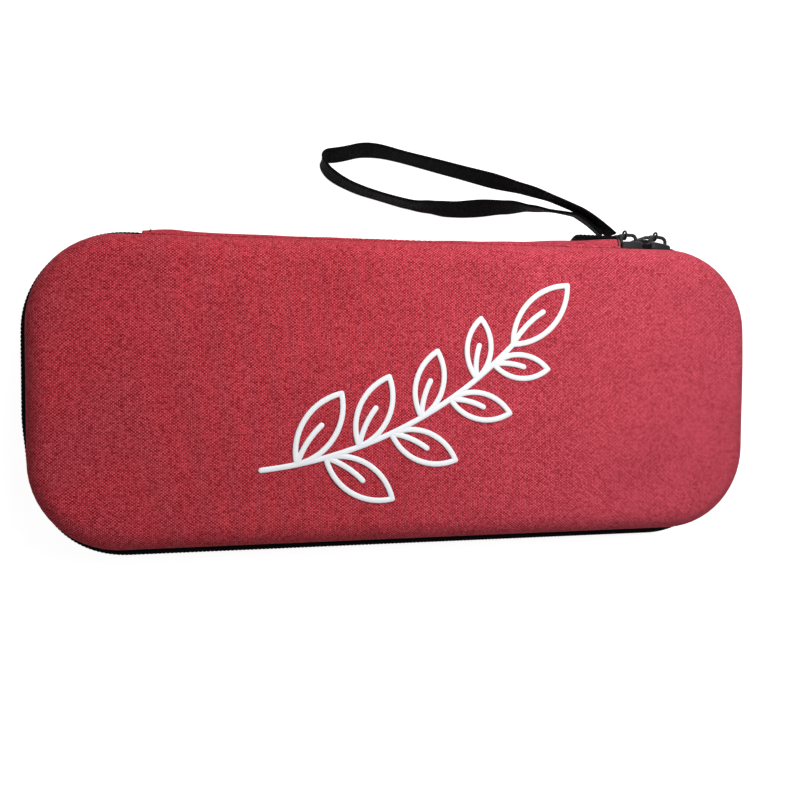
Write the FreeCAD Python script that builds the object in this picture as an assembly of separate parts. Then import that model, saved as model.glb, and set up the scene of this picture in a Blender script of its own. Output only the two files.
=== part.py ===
# A zipped hard case for a stethoscope, closed and lying on its base.
# Two moulded foam shells, covered in cloth, are joined by a zipper round three sides and a cloth hinge on the fourth.
# Lengths are millimetres and angles are degrees. X runs along the case, Y towards the hinge side and Z up.
# The origin is at the middle of the underside of the base.

import FreeCAD
import Part
import math
import os

Vector = FreeCAD.Vector
UP = Vector(0, 0, 1)
ALONG = Vector(1, 0, 0)
BACKWARD = Vector(0, 1, 0)

# The case as a whole, seen from above and from the side.
case_length = 300.0
case_width = 125.0
corner_radius = 37.0
shell_depth = 22.5
band_height = 12.0
wall_lean = 3.0
edge_radius = 10.0

# The layers of a shell, from the outside in.
cloth_thick = 0.9
foam_thick = 4.0
lining_thick = 0.6

# The zipper: tape, coil and the trim that covers the tape's seam inside.
tape_thick = 0.8
tape_seam_height = 7.5
binding_thick = 0.9
binding_height = 8.5
coil_width = 6.0
coil_thick = 2.4
coil_round = 1.1
coil_gap = 0.9
left_tape_run = 6.5
right_tape_run = 14.0

# The cloth hinge between the shells at the back.
strip_thick = 1.0
strip_bulge = 3.5
strip_overlap = 2.0
strip_clearance = 0.1
hinge_axis_out = 4.5
hinge_backing_thick = 0.7
backing_clearance = 0.15
strip_end_gap = 0.3

# A zipper slider, about the coil's middle line.
slider_length = 9.5
slider_width = 9.0
slider_round = 1.6
plate_thick = 1.05
coil_clearance = 0.25
side_clearance = 0.35
post_length = 2.0
post_thick = 0.5
post_share = 0.3
bail_height = 3.2
bail_span = 7.0
bail_bend = 2.0
bail_thick = 1.6
slider_a_gap = 1.25
slider_b_run = 6.0
free_tape_share = 0.75

# A pull: a wire ring through the slider's bail, and a tab on the ring.
ring_radius = 1.85
ring_thick = 0.9
ring_play = 0.1
pull_shift = 1.7
tab_thick = 1.6
tab_width = 5.2
tab_neck_width = 3.4
tab_length = 20.5
tab_eye_radius = 1.0
tab_eye_rim = 0.6
tab_edge_round = 0.5
tab_window_width = 2.2
tab_window_length = 6.5
tab_window_margin = 2.0

# The wrist strap of flat webbing and the tab of folded webbing that holds it.
strap_width = 10.0
strap_thick = 1.3
anchor_length = 19.0
anchor_thick = 3.0
anchor_clearance = 0.05
anchor_top_angle = 1.5
anchor_bottom_angle = 36.0

# Inside the base: two elastic bands across the floor, each sewn down at both ends.
elastic_width = 25.0
elastic_thick = 1.2
elastic_rise = 2.5
elastic_spacing = 124.0
elastic_end_margin = 2.0
tack_length = 20.0
tack_width = 2.0
tack_thick = 0.5
tack_inset = 4.0

# Inside the lid: a net pocket with a cloth border and an elastic hem.
net_set_in = 2.0
net_thick = 0.6
net_strand = 1.8
net_pitch = 10.6
net_mouth = 36.0
net_fit = 0.1
border_width = 9.0
border_thick = 0.5
hem_width = 6.0
hem_thick = 2.0
hem_round = 0.65

# The raised white print on the lid: a leafy sprig drawn in strokes.
print_length = 132.0
print_height = 84.0
print_thick = 0.5
stroke_width = 2.2
leaf_length = 34.0
leaf_width = 14.0
leaf_lean = 47.0

# A cut runs this far past what it cuts.
overrun = 1.0

half_length = case_length / 2
half_width = case_width / 2
corner_x = half_length - corner_radius
corner_y = half_width - corner_radius
rim_up = shell_depth
part_up = rim_up + band_height / 2
case_height = 2 * part_up
lean = math.atan2(wall_lean, shell_depth)
strip_left = -corner_x + left_tape_run
strip_right = corner_x - right_tape_run
hinge_y = half_width + hinge_axis_out
lining_depth = cloth_thick + foam_thick
inside_depth = lining_depth + lining_thick
tape_depth = inside_depth + tape_thick
binding_depth = tape_depth + binding_thick


def write(name, shape):
    """Keeps one piece as a STEP file under its own name."""
    solids = shape.Solids
    shape = solids[0] if len(solids) == 1 else Part.makeCompound(solids)
    if not shape.isValid():
        print("not valid:", name)
    shape.exportStep(os.path.join("parts", name + ".step"))
    print(f"{name}: {len(solids)} solid(s), {shape.Volume / 1000:.2f} cubic cm")


def joined(pieces):
    """Several solids that touch, as one with no seams between them."""
    return pieces[0].multiFuse(pieces[1:]).removeSplitter()


def flipped(shape):
    """The lid's copy of a piece of the base: the same moulding turned over above the zipper."""
    return shape.mirror(UP * part_up, UP)


def turned(point, angle):
    """A plan direction of one unit at an angle from +X."""
    return point + Vector(math.cos(math.radians(angle)), math.sin(math.radians(angle)), 0)


# Sections are lists of edges in (outward, up) places: two places make a line and three make an arc.
def polygon(places):
    """A section with straight edges only."""
    return list(zip(places, places[1:] + places[:1]))


def section_face(section, foot, outward):
    """A section stood up on the track at foot, facing outward."""
    edges = []
    for edge in section:
        placed = [foot + outward * out + UP * up for out, up in edge]
        if len(placed) == 2:
            edges.append(Part.LineSegment(*placed).toShape())
        else:
            edges.append(Part.Arc(*placed).toShape())
    return Part.Face(Part.Wire(Part.__sortEdges__(edges)))


def straight_run(section, start, end, outward):
    """A section carried along one straight side."""
    return section_face(section, start, outward).extrude(end - start)


def corner_run(section, centre, start_angle, sweep):
    """A section carried round a corner, whose track lies corner_radius from its centre."""
    outward = turned(Vector(0, 0, 0), start_angle)
    return section_face(section, centre + outward * corner_radius, outward).revolve(centre, UP, sweep)


def back_run(section, start_x, end_x):
    """A section carried along the back, where the hinge is."""
    return straight_run(section, Vector(start_x, half_width, 0), Vector(end_x, half_width, 0), BACKWARD)


BACK_RIGHT = Vector(corner_x, corner_y, 0)


def front_and_sides(section, corner_cut=0.0):
    """A section carried round both ends and the front. corner_cut leaves out the first part of the back right corner."""
    back_left = Vector(-corner_x, corner_y, 0)
    front_left = Vector(-corner_x, -corner_y, 0)
    front_right = Vector(corner_x, -corner_y, 0)
    left = Vector(-half_length, 0, 0)
    right = Vector(half_length, 0, 0)
    front = Vector(0, -half_width, 0)
    reach = BACKWARD * corner_y
    run = ALONG * corner_x
    return [
        corner_run(section, back_left, 90, 90),
        straight_run(section, left + reach, left - reach, -ALONG),
        corner_run(section, front_left, 180, 90),
        straight_run(section, front - run, front + run, -BACKWARD),
        corner_run(section, front_right, 270, 90),
        straight_run(section, right - reach, right + reach, ALONG),
        corner_run(section, BACK_RIGHT, 0, 90 - corner_cut),
    ]


def all_round(section):
    """A section carried right round the case."""
    return joined(front_and_sides(section) + [back_run(section, -corner_x, corner_x)])


def zipper_round(section):
    """A section carried round the zipper's track, from one end of the hinge strip to the other."""
    return joined(
        front_and_sides(section)
        + [
            back_run(section, -corner_x, strip_left - strip_end_gap),
            back_run(section, strip_right + strip_end_gap, corner_x),
        ]
    )


# The shells.
def wall_out(depth, up):
    """How far out the base's wall is at a height, that far inside its outer face."""
    return -depth / math.cos(lean) - (rim_up - up) * math.tan(lean)


def skin(depth):
    """The edges of one skin of the base, from its rim down round the edge to the corner's axis."""
    radius = edge_radius - depth
    centre_out = wall_out(edge_radius, edge_radius)

    def on_round(angle):
        return (centre_out + radius * math.cos(angle), edge_radius - radius * math.sin(angle))

    down = math.pi / 2
    rim = (wall_out(depth, rim_up), rim_up)
    return [
        (rim, on_round(lean)),
        (on_round(lean), on_round((lean + down) / 2), on_round(down)),
        (on_round(down), (-corner_radius, depth)),
    ]


def base_layer(outer_depth, inner_depth):
    """One layer of the base's shell, walls and floor."""
    outer = skin(outer_depth)
    inner = skin(inner_depth)
    section = outer + inner + [(outer[0][0], inner[0][0]), (outer[-1][-1], inner[-1][-1])]
    floor = Part.makeBox(
        2 * corner_x,
        2 * corner_y,
        inner_depth - outer_depth,
        Vector(-corner_x, -corner_y, outer_depth),
    )
    return joined([all_round(section), floor])


# The zipper and the trim at the rims.
def leaning_band(outer_depth, inner_depth, height):
    """A section that lies against the inside of the base's wall, from the rim down."""
    low = rim_up - height
    return polygon(
        [
            (wall_out(outer_depth, rim_up), rim_up),
            (wall_out(outer_depth, low), low),
            (wall_out(inner_depth, low), low),
            (wall_out(inner_depth, rim_up), rim_up),
        ]
    )


def tape_section():
    """The base's half of the zipper tape: a seam inside the rim, over the rim, and up to the coil."""
    low = rim_up - tape_seam_height
    over = rim_up + tape_thick
    top = part_up - coil_gap / 2
    return polygon(
        [
            (wall_out(inside_depth, rim_up), rim_up),
            (wall_out(inside_depth, low), low),
            (wall_out(tape_depth, low), low),
            (wall_out(tape_depth, rim_up), rim_up),
            (wall_out(tape_depth, rim_up), over),
            (-tape_thick, over),
            (-tape_thick, top),
            (0, top),
            (0, rim_up),
        ]
    )


def coil_section():
    """The base's half of the zipper coil, as one bead on the outside of the tape."""
    low = part_up - coil_width / 2
    top = part_up - coil_gap / 2
    middle = coil_round * (1 - math.sqrt(2) / 2)
    return [
        ((0, low), (coil_thick - coil_round, low)),
        ((coil_thick - coil_round, low), (coil_thick - middle, low + middle), (coil_thick, low + coil_round)),
        ((coil_thick, low + coil_round), (coil_thick, top)),
        ((coil_thick, top), (0, top)),
        ((0, top), (0, low)),
    ]


def flipped_section(section):
    """The lid's half of a section of the base."""
    return [tuple((out, 2 * part_up - up) for out, up in edge) for edge in section]


track_radius = corner_radius + coil_thick / 2
slider_b_angle = math.degrees(slider_b_run / track_radius)
slider_half_angle = math.degrees(slider_length / 2 / track_radius)
free_tape = slider_length * free_tape_share
free_angle = slider_b_angle + slider_half_angle + math.degrees(free_tape / track_radius)


def lid_zipper(section):
    """The lid's half of the zipper where it is sewn down, so without the end that the sliders hold."""
    return joined(
        front_and_sides(section, free_angle) + [back_run(section, -corner_x, strip_left - strip_end_gap)]
    )


def lid_zipper_end(section):
    """The lid's half of the zipper beside the sliders, which flexes as the lid opens."""
    return joined(
        [
            back_run(section, strip_right + strip_end_gap, corner_x),
            corner_run(section, BACK_RIGHT, 90 - free_angle, free_angle),
        ]
    )


# The hinge.
def bowed(bulge, thick, end_out, half_span):
    """A section of cloth that bows outward between the shells, bulge being its outer face's furthest point."""
    rise = bulge - end_out - thick
    radius = (half_span**2 + rise**2) / (2 * rise)
    centre_out = bulge - thick - radius
    half_angle = math.asin(half_span / radius)

    def at(offset, angle):
        return (centre_out + offset * math.cos(angle), part_up + offset * math.sin(angle))

    inner = (at(radius, -half_angle), at(radius, 0), at(radius, half_angle))
    outer = tuple(at(radius + thick, angle) for angle in (-half_angle, 0, half_angle))
    return [inner, outer, (inner[0], outer[0]), (inner[2], outer[2])], centre_out, radius + thick


strip_section, strip_centre_out, strip_face_radius = bowed(
    strip_bulge, strip_thick, strip_clearance, band_height / 2 + strip_overlap
)


def hinge_strip():
    return back_run(strip_section, strip_left, strip_right)


def hinge_backing():
    """The black cloth behind the hinge strip, from the seam in the base over its rim, out, and into the lid."""
    fold_up = rim_up + hinge_backing_thick
    bulge = strip_bulge - strip_thick - backing_clearance
    bow, _, _ = bowed(bulge, hinge_backing_thick, -hinge_backing_thick, part_up - fold_up)
    low_inner = bow[0][0]
    low_outer = bow[1][0]
    low = rim_up - tape_seam_height
    seam = polygon(
        [
            (wall_out(inside_depth, rim_up), rim_up),
            (wall_out(inside_depth, low), low),
            (wall_out(tape_depth, low), low),
            (wall_out(tape_depth, rim_up), rim_up),
            (wall_out(tape_depth, rim_up), fold_up),
            low_inner,
            low_outer,
            (low_outer[0], rim_up),
        ]
    )
    pieces = [back_run(part, strip_left, strip_right) for part in (bow, seam, flipped_section(seam))]
    return joined(pieces)


# The sliders and their pulls.
def slider_channel():
    """What a slider leaves free inside: the coil, and the tape that leaves it above and below."""
    half = coil_width / 2 + side_clearance
    inner = -tape_thick - coil_clearance
    outer = coil_thick + coil_clearance
    slot = coil_clearance
    wide = slider_width / 2 + overrun
    return polygon(
        [
            (inner, part_up - wide),
            (inner, part_up + wide),
            (slot, part_up + wide),
            (slot, part_up + half),
            (outer, part_up + half),
            (outer, part_up - half),
            (slot, part_up - half),
            (slot, part_up - wide),
        ]
    )


plate_in = -tape_thick - coil_clearance - plate_thick
plate_out = coil_thick + coil_clearance + plate_thick
bail_out = plate_out + bail_height


def slider_block():
    """A slider's outer shape, at the middle of the back with its channel still solid."""
    block = Part.makeBox(
        slider_length,
        plate_out - plate_in,
        slider_width,
        Vector(-slider_length / 2, half_width + plate_in, part_up - slider_width / 2),
    )
    across = [edge for edge in block.Edges if abs(edge.Length - (plate_out - plate_in)) < plate_thick]
    return block.makeFillet(slider_round, across)


def slider_bail():
    """The wire arch on a slider's outer face, which its pull hangs from."""
    foot_out = half_width + plate_out - plate_thick / 2
    shoulder_out = half_width + bail_out - bail_bend
    top_out = half_width + bail_out
    half = bail_span / 2
    inset = bail_bend * (1 - math.sqrt(2) / 2)

    def at(x, y):
        return Vector(x, y, part_up)

    edges = [
        Part.LineSegment(at(-half, foot_out), at(-half, shoulder_out)),
        Part.Arc(at(-half, shoulder_out), at(-half + inset, top_out - inset), at(-half + bail_bend, top_out)),
        Part.LineSegment(at(-half + bail_bend, top_out), at(half - bail_bend, top_out)),
        Part.Arc(at(half - bail_bend, top_out), at(half - inset, top_out - inset), at(half, shoulder_out)),
        Part.LineSegment(at(half, shoulder_out), at(half, foot_out)),
    ]
    path = Part.Wire([edge.toShape() for edge in edges])
    ring = Part.Wire(Part.makeCircle(bail_thick / 2, at(-half, foot_out), BACKWARD))
    return path.makePipeShell([ring], True, True)


def slider_post():
    """The web between a slider's two plates, which runs in the gap between the coil's halves."""
    start = slider_length * post_share - post_length / 2
    return Part.makeBox(
        post_length,
        plate_out - plate_in - plate_thick,
        post_thick,
        Vector(start, half_width + plate_in + plate_thick / 2, part_up - post_thick / 2),
    )


slider_a_x = strip_right + slider_a_gap + slider_length / 2


def to_slider_a(shape):
    """Carries a piece from the middle of the back to slider A."""
    moved = shape.copy()
    moved.translate(ALONG * slider_a_x)
    return moved


def to_slider_b(shape):
    """Carries a piece from the middle of the back to slider B, which is on the back right corner."""
    moved = shape.copy()
    moved.translate(ALONG * corner_x)
    moved.rotate(BACK_RIGHT, UP, -slider_b_angle)
    return moved


def slider(place, channel):
    body = place(slider_block()).cut(channel)
    return body.fuse([place(slider_post()), place(slider_bail())]).removeSplitter()


def slider_a():
    reach = slider_length
    return slider(to_slider_a, back_run(slider_channel(), slider_a_x - reach, slider_a_x + reach))


def slider_b():
    reach = 2 * slider_half_angle
    channel = corner_run(slider_channel(), BACK_RIGHT, 90 - slider_b_angle - reach, 2 * reach)
    return slider(to_slider_b, channel)


ring_drop = ring_radius - ring_thick / 2 - bail_thick / 2 - ring_play


def pull_ring():
    """The wire ring that goes through the bail and hangs at the left end of its bar."""
    middle = Vector(-pull_shift, half_width + bail_out, part_up - ring_drop)
    return Part.makeTorus(ring_radius, ring_thick / 2, middle, ALONG)


def pull_tab():
    """The flat tab that hangs on the ring by its eye."""
    wire_top = part_up - ring_drop - math.sqrt((ring_radius - ring_thick / 2) ** 2 - (tab_thick / 2) ** 2)
    eye_up = wire_top + ring_play / 2 - tab_eye_radius
    top_up = eye_up + tab_eye_radius + tab_eye_rim
    foot_up = top_up - tab_length
    inner_y = half_width + bail_out - tab_thick / 2
    neck = tab_neck_width / 2
    half = tab_width / 2
    neck_foot = eye_up - tab_eye_radius - tab_eye_rim
    shoulder = neck_foot - (half - neck)

    def at(x, up):
        return Vector(x - pull_shift, inner_y, up)

    edges = [
        Part.Arc(at(-neck, top_up - neck), at(0, top_up), at(neck, top_up - neck)),
        Part.LineSegment(at(neck, top_up - neck), at(neck, neck_foot)),
        Part.LineSegment(at(neck, neck_foot), at(half, shoulder)),
        Part.LineSegment(at(half, shoulder), at(half, foot_up + half)),
        Part.Arc(at(half, foot_up + half), at(0, foot_up), at(-half, foot_up + half)),
        Part.LineSegment(at(-half, foot_up + half), at(-half, shoulder)),
        Part.LineSegment(at(-half, shoulder), at(-neck, neck_foot)),
        Part.LineSegment(at(-neck, neck_foot), at(-neck, top_up - neck)),
    ]
    plate = Part.Face(Part.Wire([edge.toShape() for edge in edges])).extrude(BACKWARD * tab_thick)
    plate = plate.makeFillet(tab_edge_round, plate.Faces[-1].Edges + plate.Faces[-2].Edges)
    reach = tab_thick + 2 * overrun
    eye = Part.makeCylinder(tab_eye_radius, reach, at(0, eye_up) - BACKWARD * overrun, BACKWARD)
    window_end = tab_window_width / 2
    window_low = foot_up + tab_window_margin + window_end
    window_high = window_low + tab_window_length - tab_window_width
    window = Part.makeBox(
        tab_window_width, reach, window_high - window_low, at(-window_end, window_low) - BACKWARD * overrun
    )
    ends = [
        Part.makeCylinder(window_end, reach, at(0, up) - BACKWARD * overrun, BACKWARD)
        for up in (window_low, window_high)
    ]
    return plate.cut([eye, window] + ends)


# The wrist strap. Each place on its route is x, y, z, and how far the webbing leans back from standing on its edge.
strap_route = [
    (99.3, 70.2, 23.0, 0),
    (88.0, 79.2, 23.0, -3),
    (78.0, 84.0, 20.5, -2),
    (66.6, 89.4, 16.5, 10),
    (50.7, 94.2, 11.5, 26),
    (34.3, 98.7, 8.0, 21),
    (9.6, 104.5, 6.0, 16),
    (-10.2, 108.8, 5.1, 26),
    (-23.4, 104.9, 5.1, 27),
    (-31.7, 104.2, 5.2, 22),
    (-29.1, 97.0, 5.2, 17),
    (-17.6, 90.7, 5.2, 11),
    (-3.1, 86.8, 5.2, 8),
    (9.8, 83.8, 5.3, 11),
    (19.6, 83.4, 5.2, 22),
    (29.0, 82.4, 5.2, 34),
    (44.6, 83.9, 5.5, 44),
    (59.0, 84.5, 7.0, 27),
    (69.1, 83.5, 10.0, 2),
    (79.0, 81.2, 15.0, -12),
    (86.5, 78.8, 19.5, -10),
    (94.5, 69.8, 22.5, -20),
]
strap_bend_share = 0.45
strap_bend_steps = 3


def strap_line():
    """Places along the strap's middle: straight runs joined by arcs, each with its lean."""
    points = [Vector(*stop[:3]) for stop in strap_route]
    leans = [stop[3] for stop in strap_route]
    line = [(points[0], points[1] - points[0], leans[0])]
    radii = []
    for i in range(1, len(points) - 1):
        before = points[i] - points[i - 1]
        after = points[i + 1] - points[i]
        turn = before.getAngle(after)
        tangent = strap_bend_share * min(before.Length, after.Length)
        radius = tangent / math.tan(turn / 2)
        radii.append(round(radius, 1))
        start = points[i] - before.normalize() * tangent
        inward = (after / after.Length - before).normalize()
        centre = points[i] + inward * math.hypot(tangent, radius)
        spoke = start - centre
        for step in range(strap_bend_steps + 1):
            share = step / strap_bend_steps
            swing = turn * share
            way = before * math.cos(swing) + (after / after.Length - before * math.cos(turn)) * (
                math.sin(swing) / math.sin(turn)
            )
            place = centre + spoke * math.cos(swing) + before * (spoke.Length * math.sin(swing))
            line.append((place, way, leans[i]))
    line.append((points[-1], points[-1] - points[-2], leans[-1]))
    print("strap's bends, radius in mm:", radii)
    print("strap's length in mm:", round(sum((b[0] - a[0]).Length for a, b in zip(line, line[1:])), 1))
    return line


def smooth_leans(line):
    """The line with its lean spread evenly along each run, from the middle of one bend to the middle of the next."""
    travelled = [0.0]
    for a, b in zip(line, line[1:]):
        travelled.append(travelled[-1] + (b[0] - a[0]).Length)
    group = strap_bend_steps + 1
    knots = [(0.0, line[0][2])]
    for i in range(len(strap_route) - 2):
        first = 1 + i * group
        knots.append(((travelled[first] + travelled[first + group - 1]) / 2, line[first][2]))
    knots.append((travelled[-1], line[-1][2]))
    leans = []
    for distance in travelled:
        for (low, from_lean), (high, to_lean) in zip(knots, knots[1:]):
            if distance <= high:
                break
        leans.append(from_lean + (to_lean - from_lean) * (distance - low) / (high - low))
    return leans


def wrist_strap():
    """The webbing as one ribbon, through a rectangle at each place on its line."""
    line = strap_line()
    frames = []
    for (place, way, _), tilt in zip(line, smooth_leans(line)):
        way = Vector(way).normalize()
        width = Vector(0, math.sin(math.radians(tilt)), math.cos(math.radians(tilt)))
        width = (width - way * width.dot(way)).normalize()
        through = way.cross(width)
        frames.append((place, width * (strap_width / 2), through * (strap_thick / 2)))
    sections = []
    for place, width, through in frames:
        ring = [place + width + through, place + width - through, place - width - through, place - width + through]
        sections.append(Part.makePolygon(ring + ring[:1]))
    return Part.makeLoft(sections, True, True)


def strap_anchor():
    """The folded webbing sewn to the lower half of the hinge strip's outer face, which holds both ends of the strap."""
    inner = strip_face_radius + anchor_clearance
    outer = inner + anchor_thick
    top = -math.radians(anchor_top_angle)
    low = -math.radians(anchor_bottom_angle)

    def at(radius, angle):
        return (strip_centre_out + radius * math.cos(angle), part_up + radius * math.sin(angle))

    faces = [tuple(at(radius, angle) for angle in (low, (low + top) / 2, top)) for radius in (inner, outer)]
    section = faces + [(faces[0][0], faces[1][0]), (faces[0][2], faces[1][2])]
    return back_run(section, strip_right - anchor_length, strip_right)


# Inside the base.
floor_reach = corner_y + corner_radius + wall_out(edge_radius, edge_radius) - elastic_end_margin
band_middles = (-elastic_spacing / 2, elastic_spacing / 2)


def elastic_band(middle):
    """One elastic band across the floor: flat where it is sewn at the ends, and lifted between."""
    flat = 2 * tack_inset + tack_width
    low = inside_depth
    high = low + elastic_thick
    crest = low + elastic_rise
    start_x = middle - elastic_width / 2

    def at(y, up):
        return Vector(start_x, y, up)

    sewn = floor_reach - flat
    edges = [
        Part.LineSegment(at(-floor_reach, low), at(-sewn, low)),
        Part.Arc(at(-sewn, low), at(0, crest), at(sewn, low)),
        Part.LineSegment(at(sewn, low), at(floor_reach, low)),
        Part.LineSegment(at(floor_reach, low), at(floor_reach, high)),
        Part.LineSegment(at(floor_reach, high), at(sewn, high)),
        Part.Arc(at(sewn, high), at(0, crest + elastic_thick), at(-sewn, high)),
        Part.LineSegment(at(-sewn, high), at(-floor_reach, high)),
        Part.LineSegment(at(-floor_reach, high), at(-floor_reach, low)),
    ]
    return Part.Face(Part.Wire([edge.toShape() for edge in edges])).extrude(ALONG * elastic_width)


def elastic_tacks():
    """The bars of stitching that sew the bands down, one at each end of each band."""
    bars = []
    for middle in band_middles:
        for side in (-1, 1):
            y = side * (floor_reach - tack_inset - tack_width / 2)
            corner = Vector(middle - tack_length / 2, y - tack_width / 2, inside_depth + elastic_thick)
            bars.append(Part.makeBox(tack_length, tack_width, tack_thick, corner))
    return Part.makeCompound(bars)


# Inside the lid.
net_low = case_height - rim_up + net_set_in
net_high = net_low + net_thick
net_edge_out = wall_out(binding_depth, 2 * part_up - net_high) - net_fit
mouth_y = -half_width - net_edge_out + net_mouth


def plan_wire(grow, front_y, up):
    """The case's outline grown by that much, but cut off straight at front_y, as a wire at a height."""
    x = half_length + grow
    y = half_width + grow
    radius = corner_radius + grow
    bend = radius * (1 - math.sqrt(2) / 2)

    def at(px, py):
        return Vector(px, py, up)

    edges = [
        Part.LineSegment(at(-x, front_y), at(x, front_y)),
        Part.LineSegment(at(x, front_y), at(x, corner_y)),
        Part.Arc(at(x, corner_y), at(x - bend, y - bend), at(corner_x, y)),
        Part.LineSegment(at(corner_x, y), at(-corner_x, y)),
        Part.Arc(at(-corner_x, y), at(-x + bend, y - bend), at(-x, corner_y)),
        Part.LineSegment(at(-x, corner_y), at(-x, front_y)),
    ]
    return Part.Wire([edge.toShape() for edge in edges])


def net_gaps():
    """The diamond gaps of the net, in staggered rows, wherever a whole one fits inside the border."""
    reach = (net_pitch - net_strand) / 2
    margin = border_width / 2 + reach
    x_limit = half_length + net_edge_out - margin
    y_limit = half_width + net_edge_out - margin
    corner_limit = corner_radius + net_edge_out - margin
    gaps = []
    rows = int((y_limit - mouth_y - margin) / (net_pitch / 2)) + 1
    for row in range(rows):
        y = mouth_y + margin + row * net_pitch / 2
        shift = net_pitch / 2 * (row % 2)
        columns = int((x_limit - shift) / net_pitch)
        for column in range(-columns - 1, columns + 1):
            x = column * net_pitch + shift
            beyond = math.hypot(max(0.0, abs(x) - corner_x), max(0.0, y - corner_y))
            if abs(x) > x_limit or (abs(x) > corner_x and beyond > corner_limit):
                continue
            diamond = [Vector(x + reach, y, net_low), Vector(x, y + reach, net_low)]
            diamond += [Vector(x - reach, y, net_low), Vector(x, y - reach, net_low)]
            gaps.append(Part.makePolygon(diamond + diamond[:1]))
    print("net gaps:", len(gaps))
    return gaps


def pocket_net():
    outline = plan_wire(net_edge_out, mouth_y, net_low)
    return Part.makeFace([outline] + net_gaps(), "Part::FaceMakerBullseye").extrude(UP * net_thick)


def pocket_border():
    """The cloth edging on the net's face, along both ends and the hinge side."""
    outer = Part.Face(plan_wire(net_edge_out, mouth_y, net_low - border_thick)).extrude(UP * border_thick)
    inner_out = net_edge_out - border_width
    low = net_low - border_thick - overrun
    inner = Part.Face(plan_wire(inner_out, mouth_y - border_width, low)).extrude(
        UP * (border_thick + 2 * overrun)
    )
    return outer.cut(inner)


def pocket_hem():
    """The elastic hem along the pocket's mouth."""
    length = 2 * (half_length + net_edge_out)
    corner = Vector(-length / 2, mouth_y - hem_width, net_low + net_thick / 2 - hem_thick / 2)
    hem = Part.makeBox(length, hem_width, hem_thick, corner)
    along = [edge for edge in hem.Edges if abs(edge.Length - length) < hem_width / 2]
    return hem.makeFillet(hem_round, along)


# The print.
def stroke(start, middle, end):
    """A raised line of even width along an arc, with round ends."""
    top = case_height
    places = [Vector(x, y, top) for x, y in (start, middle, end)]
    centre = Part.Arc(*places).toShape().Curve.Center
    half = stroke_width / 2
    spokes = [(place - centre).normalize() for place in places]
    outer = [place + spoke * half for place, spoke in zip(places, spokes)]
    inner = [place - spoke * half for place, spoke in zip(places, spokes)]
    ways = []
    for spoke, sign in ((spokes[0], -1), (spokes[2], 1)):
        way = UP.cross(spoke)
        towards = places[2] - places[0]
        ways.append(way * (sign if way.dot(towards) > 0 else -sign))
    edges = [
        Part.Arc(*outer),
        Part.Arc(outer[2], places[2] + ways[1] * half, inner[2]),
        Part.Arc(*reversed(inner)),
        Part.Arc(inner[0], places[0] + ways[0] * half, outer[0]),
    ]
    wire = Part.Wire([edge.toShape() for edge in edges])
    return Part.Face(wire).extrude(UP * print_thick)


# The stem's ends and middle as shares of the print's length and height from the lid's middle, and the leaves along it.
stem_shares = ((-0.47, -0.36), (-0.03, -0.16), (0.3, 0.22))
leaf_shares = ((0.12, 1), (0.22, -1), (0.34, 1), (0.46, -1), (0.58, 1), (0.7, -1), (0.82, 1), (0.9, -1))
leaf_taper_share = 0.35
vein_share = 0.55
vein_bow_share = 1 / 12
stem_stop_shares = (0, 0.5, 1)


def on_stem(share):
    """The place and the heading of the stem, in degrees, at a share of the way along its arc."""
    ends = [Vector(x * print_length, y * print_height, 0) for x, y in stem_shares]
    circle = Part.Arc(*ends)
    first = circle.FirstParameter
    parameter = first + (circle.LastParameter - first) * share
    place = circle.value(parameter)
    way = circle.tangent(parameter)[0]
    return place, math.degrees(math.atan2(way.y, way.x))


def leaf(foot, heading, length):
    """A leaf's two curved sides and its vein, as strokes."""
    way = turned(Vector(0, 0, 0), heading)
    across = turned(Vector(0, 0, 0), heading + 90)
    tip = foot + way * length
    belly = foot + way * (length / 2)
    half = leaf_width / 2 * length / leaf_length
    vein_end = foot + way * (length * vein_share)
    vein_bow = foot + way * (length * vein_share / 2) + across * (2 * half * vein_bow_share)
    strokes = [(foot, belly + across * half, tip), (foot, belly - across * half, tip), (foot, vein_bow, vein_end)]
    return [stroke(*((place.x, place.y) for place in line)) for line in strokes]


def lid_print():
    stem = [on_stem(share)[0] for share in stem_stop_shares]
    pieces = [stroke(*((place.x, place.y) for place in stem))]
    for share, side in leaf_shares:
        foot, heading = on_stem(share)
        pieces += leaf(foot, heading + side * leaf_lean, leaf_length * (1 - leaf_taper_share * share))
    foot, heading = on_stem(1)
    pieces += leaf(foot, heading, leaf_length)
    return joined(pieces)


os.makedirs("parts", exist_ok=True)

base_cloth = base_layer(0, cloth_thick)
base_foam = base_layer(cloth_thick, lining_depth)
base_lining = base_layer(lining_depth, inside_depth)
base_binding = all_round(leaning_band(tape_depth, binding_depth, binding_height))

write("base_outer_fabric", base_cloth)
write("base_foam_shell", base_foam)
write("base_lining", base_lining)
write("base_rim_binding", base_binding)
write("base_zipper_tape", zipper_round(tape_section()))
write("base_zipper_coil", zipper_round(coil_section()))

write("lid_outer_fabric", flipped(base_cloth))
write("lid_foam_shell", flipped(base_foam))
write("lid_lining", flipped(base_lining))
write("lid_rim_binding", flipped(base_binding))
write("lid_zipper_tape", lid_zipper(flipped_section(tape_section())))
write("lid_zipper_coil", lid_zipper(flipped_section(coil_section())))
write("lid_zipper_tape_end", lid_zipper_end(flipped_section(tape_section())))
write("lid_zipper_coil_end", lid_zipper_end(flipped_section(coil_section())))

write("hinge_strip", hinge_strip())
write("hinge_lining", hinge_backing())
write("strap_anchor_tab", strap_anchor())
write("wrist_strap", wrist_strap())

write("slider_a_body", slider_a())
write("slider_b_body", slider_b())
write("pull_a_ring", to_slider_a(pull_ring()))
write("pull_b_ring", to_slider_b(pull_ring()))
write("pull_a_tab", to_slider_a(pull_tab()))
write("pull_b_tab", to_slider_b(pull_tab()))

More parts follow.
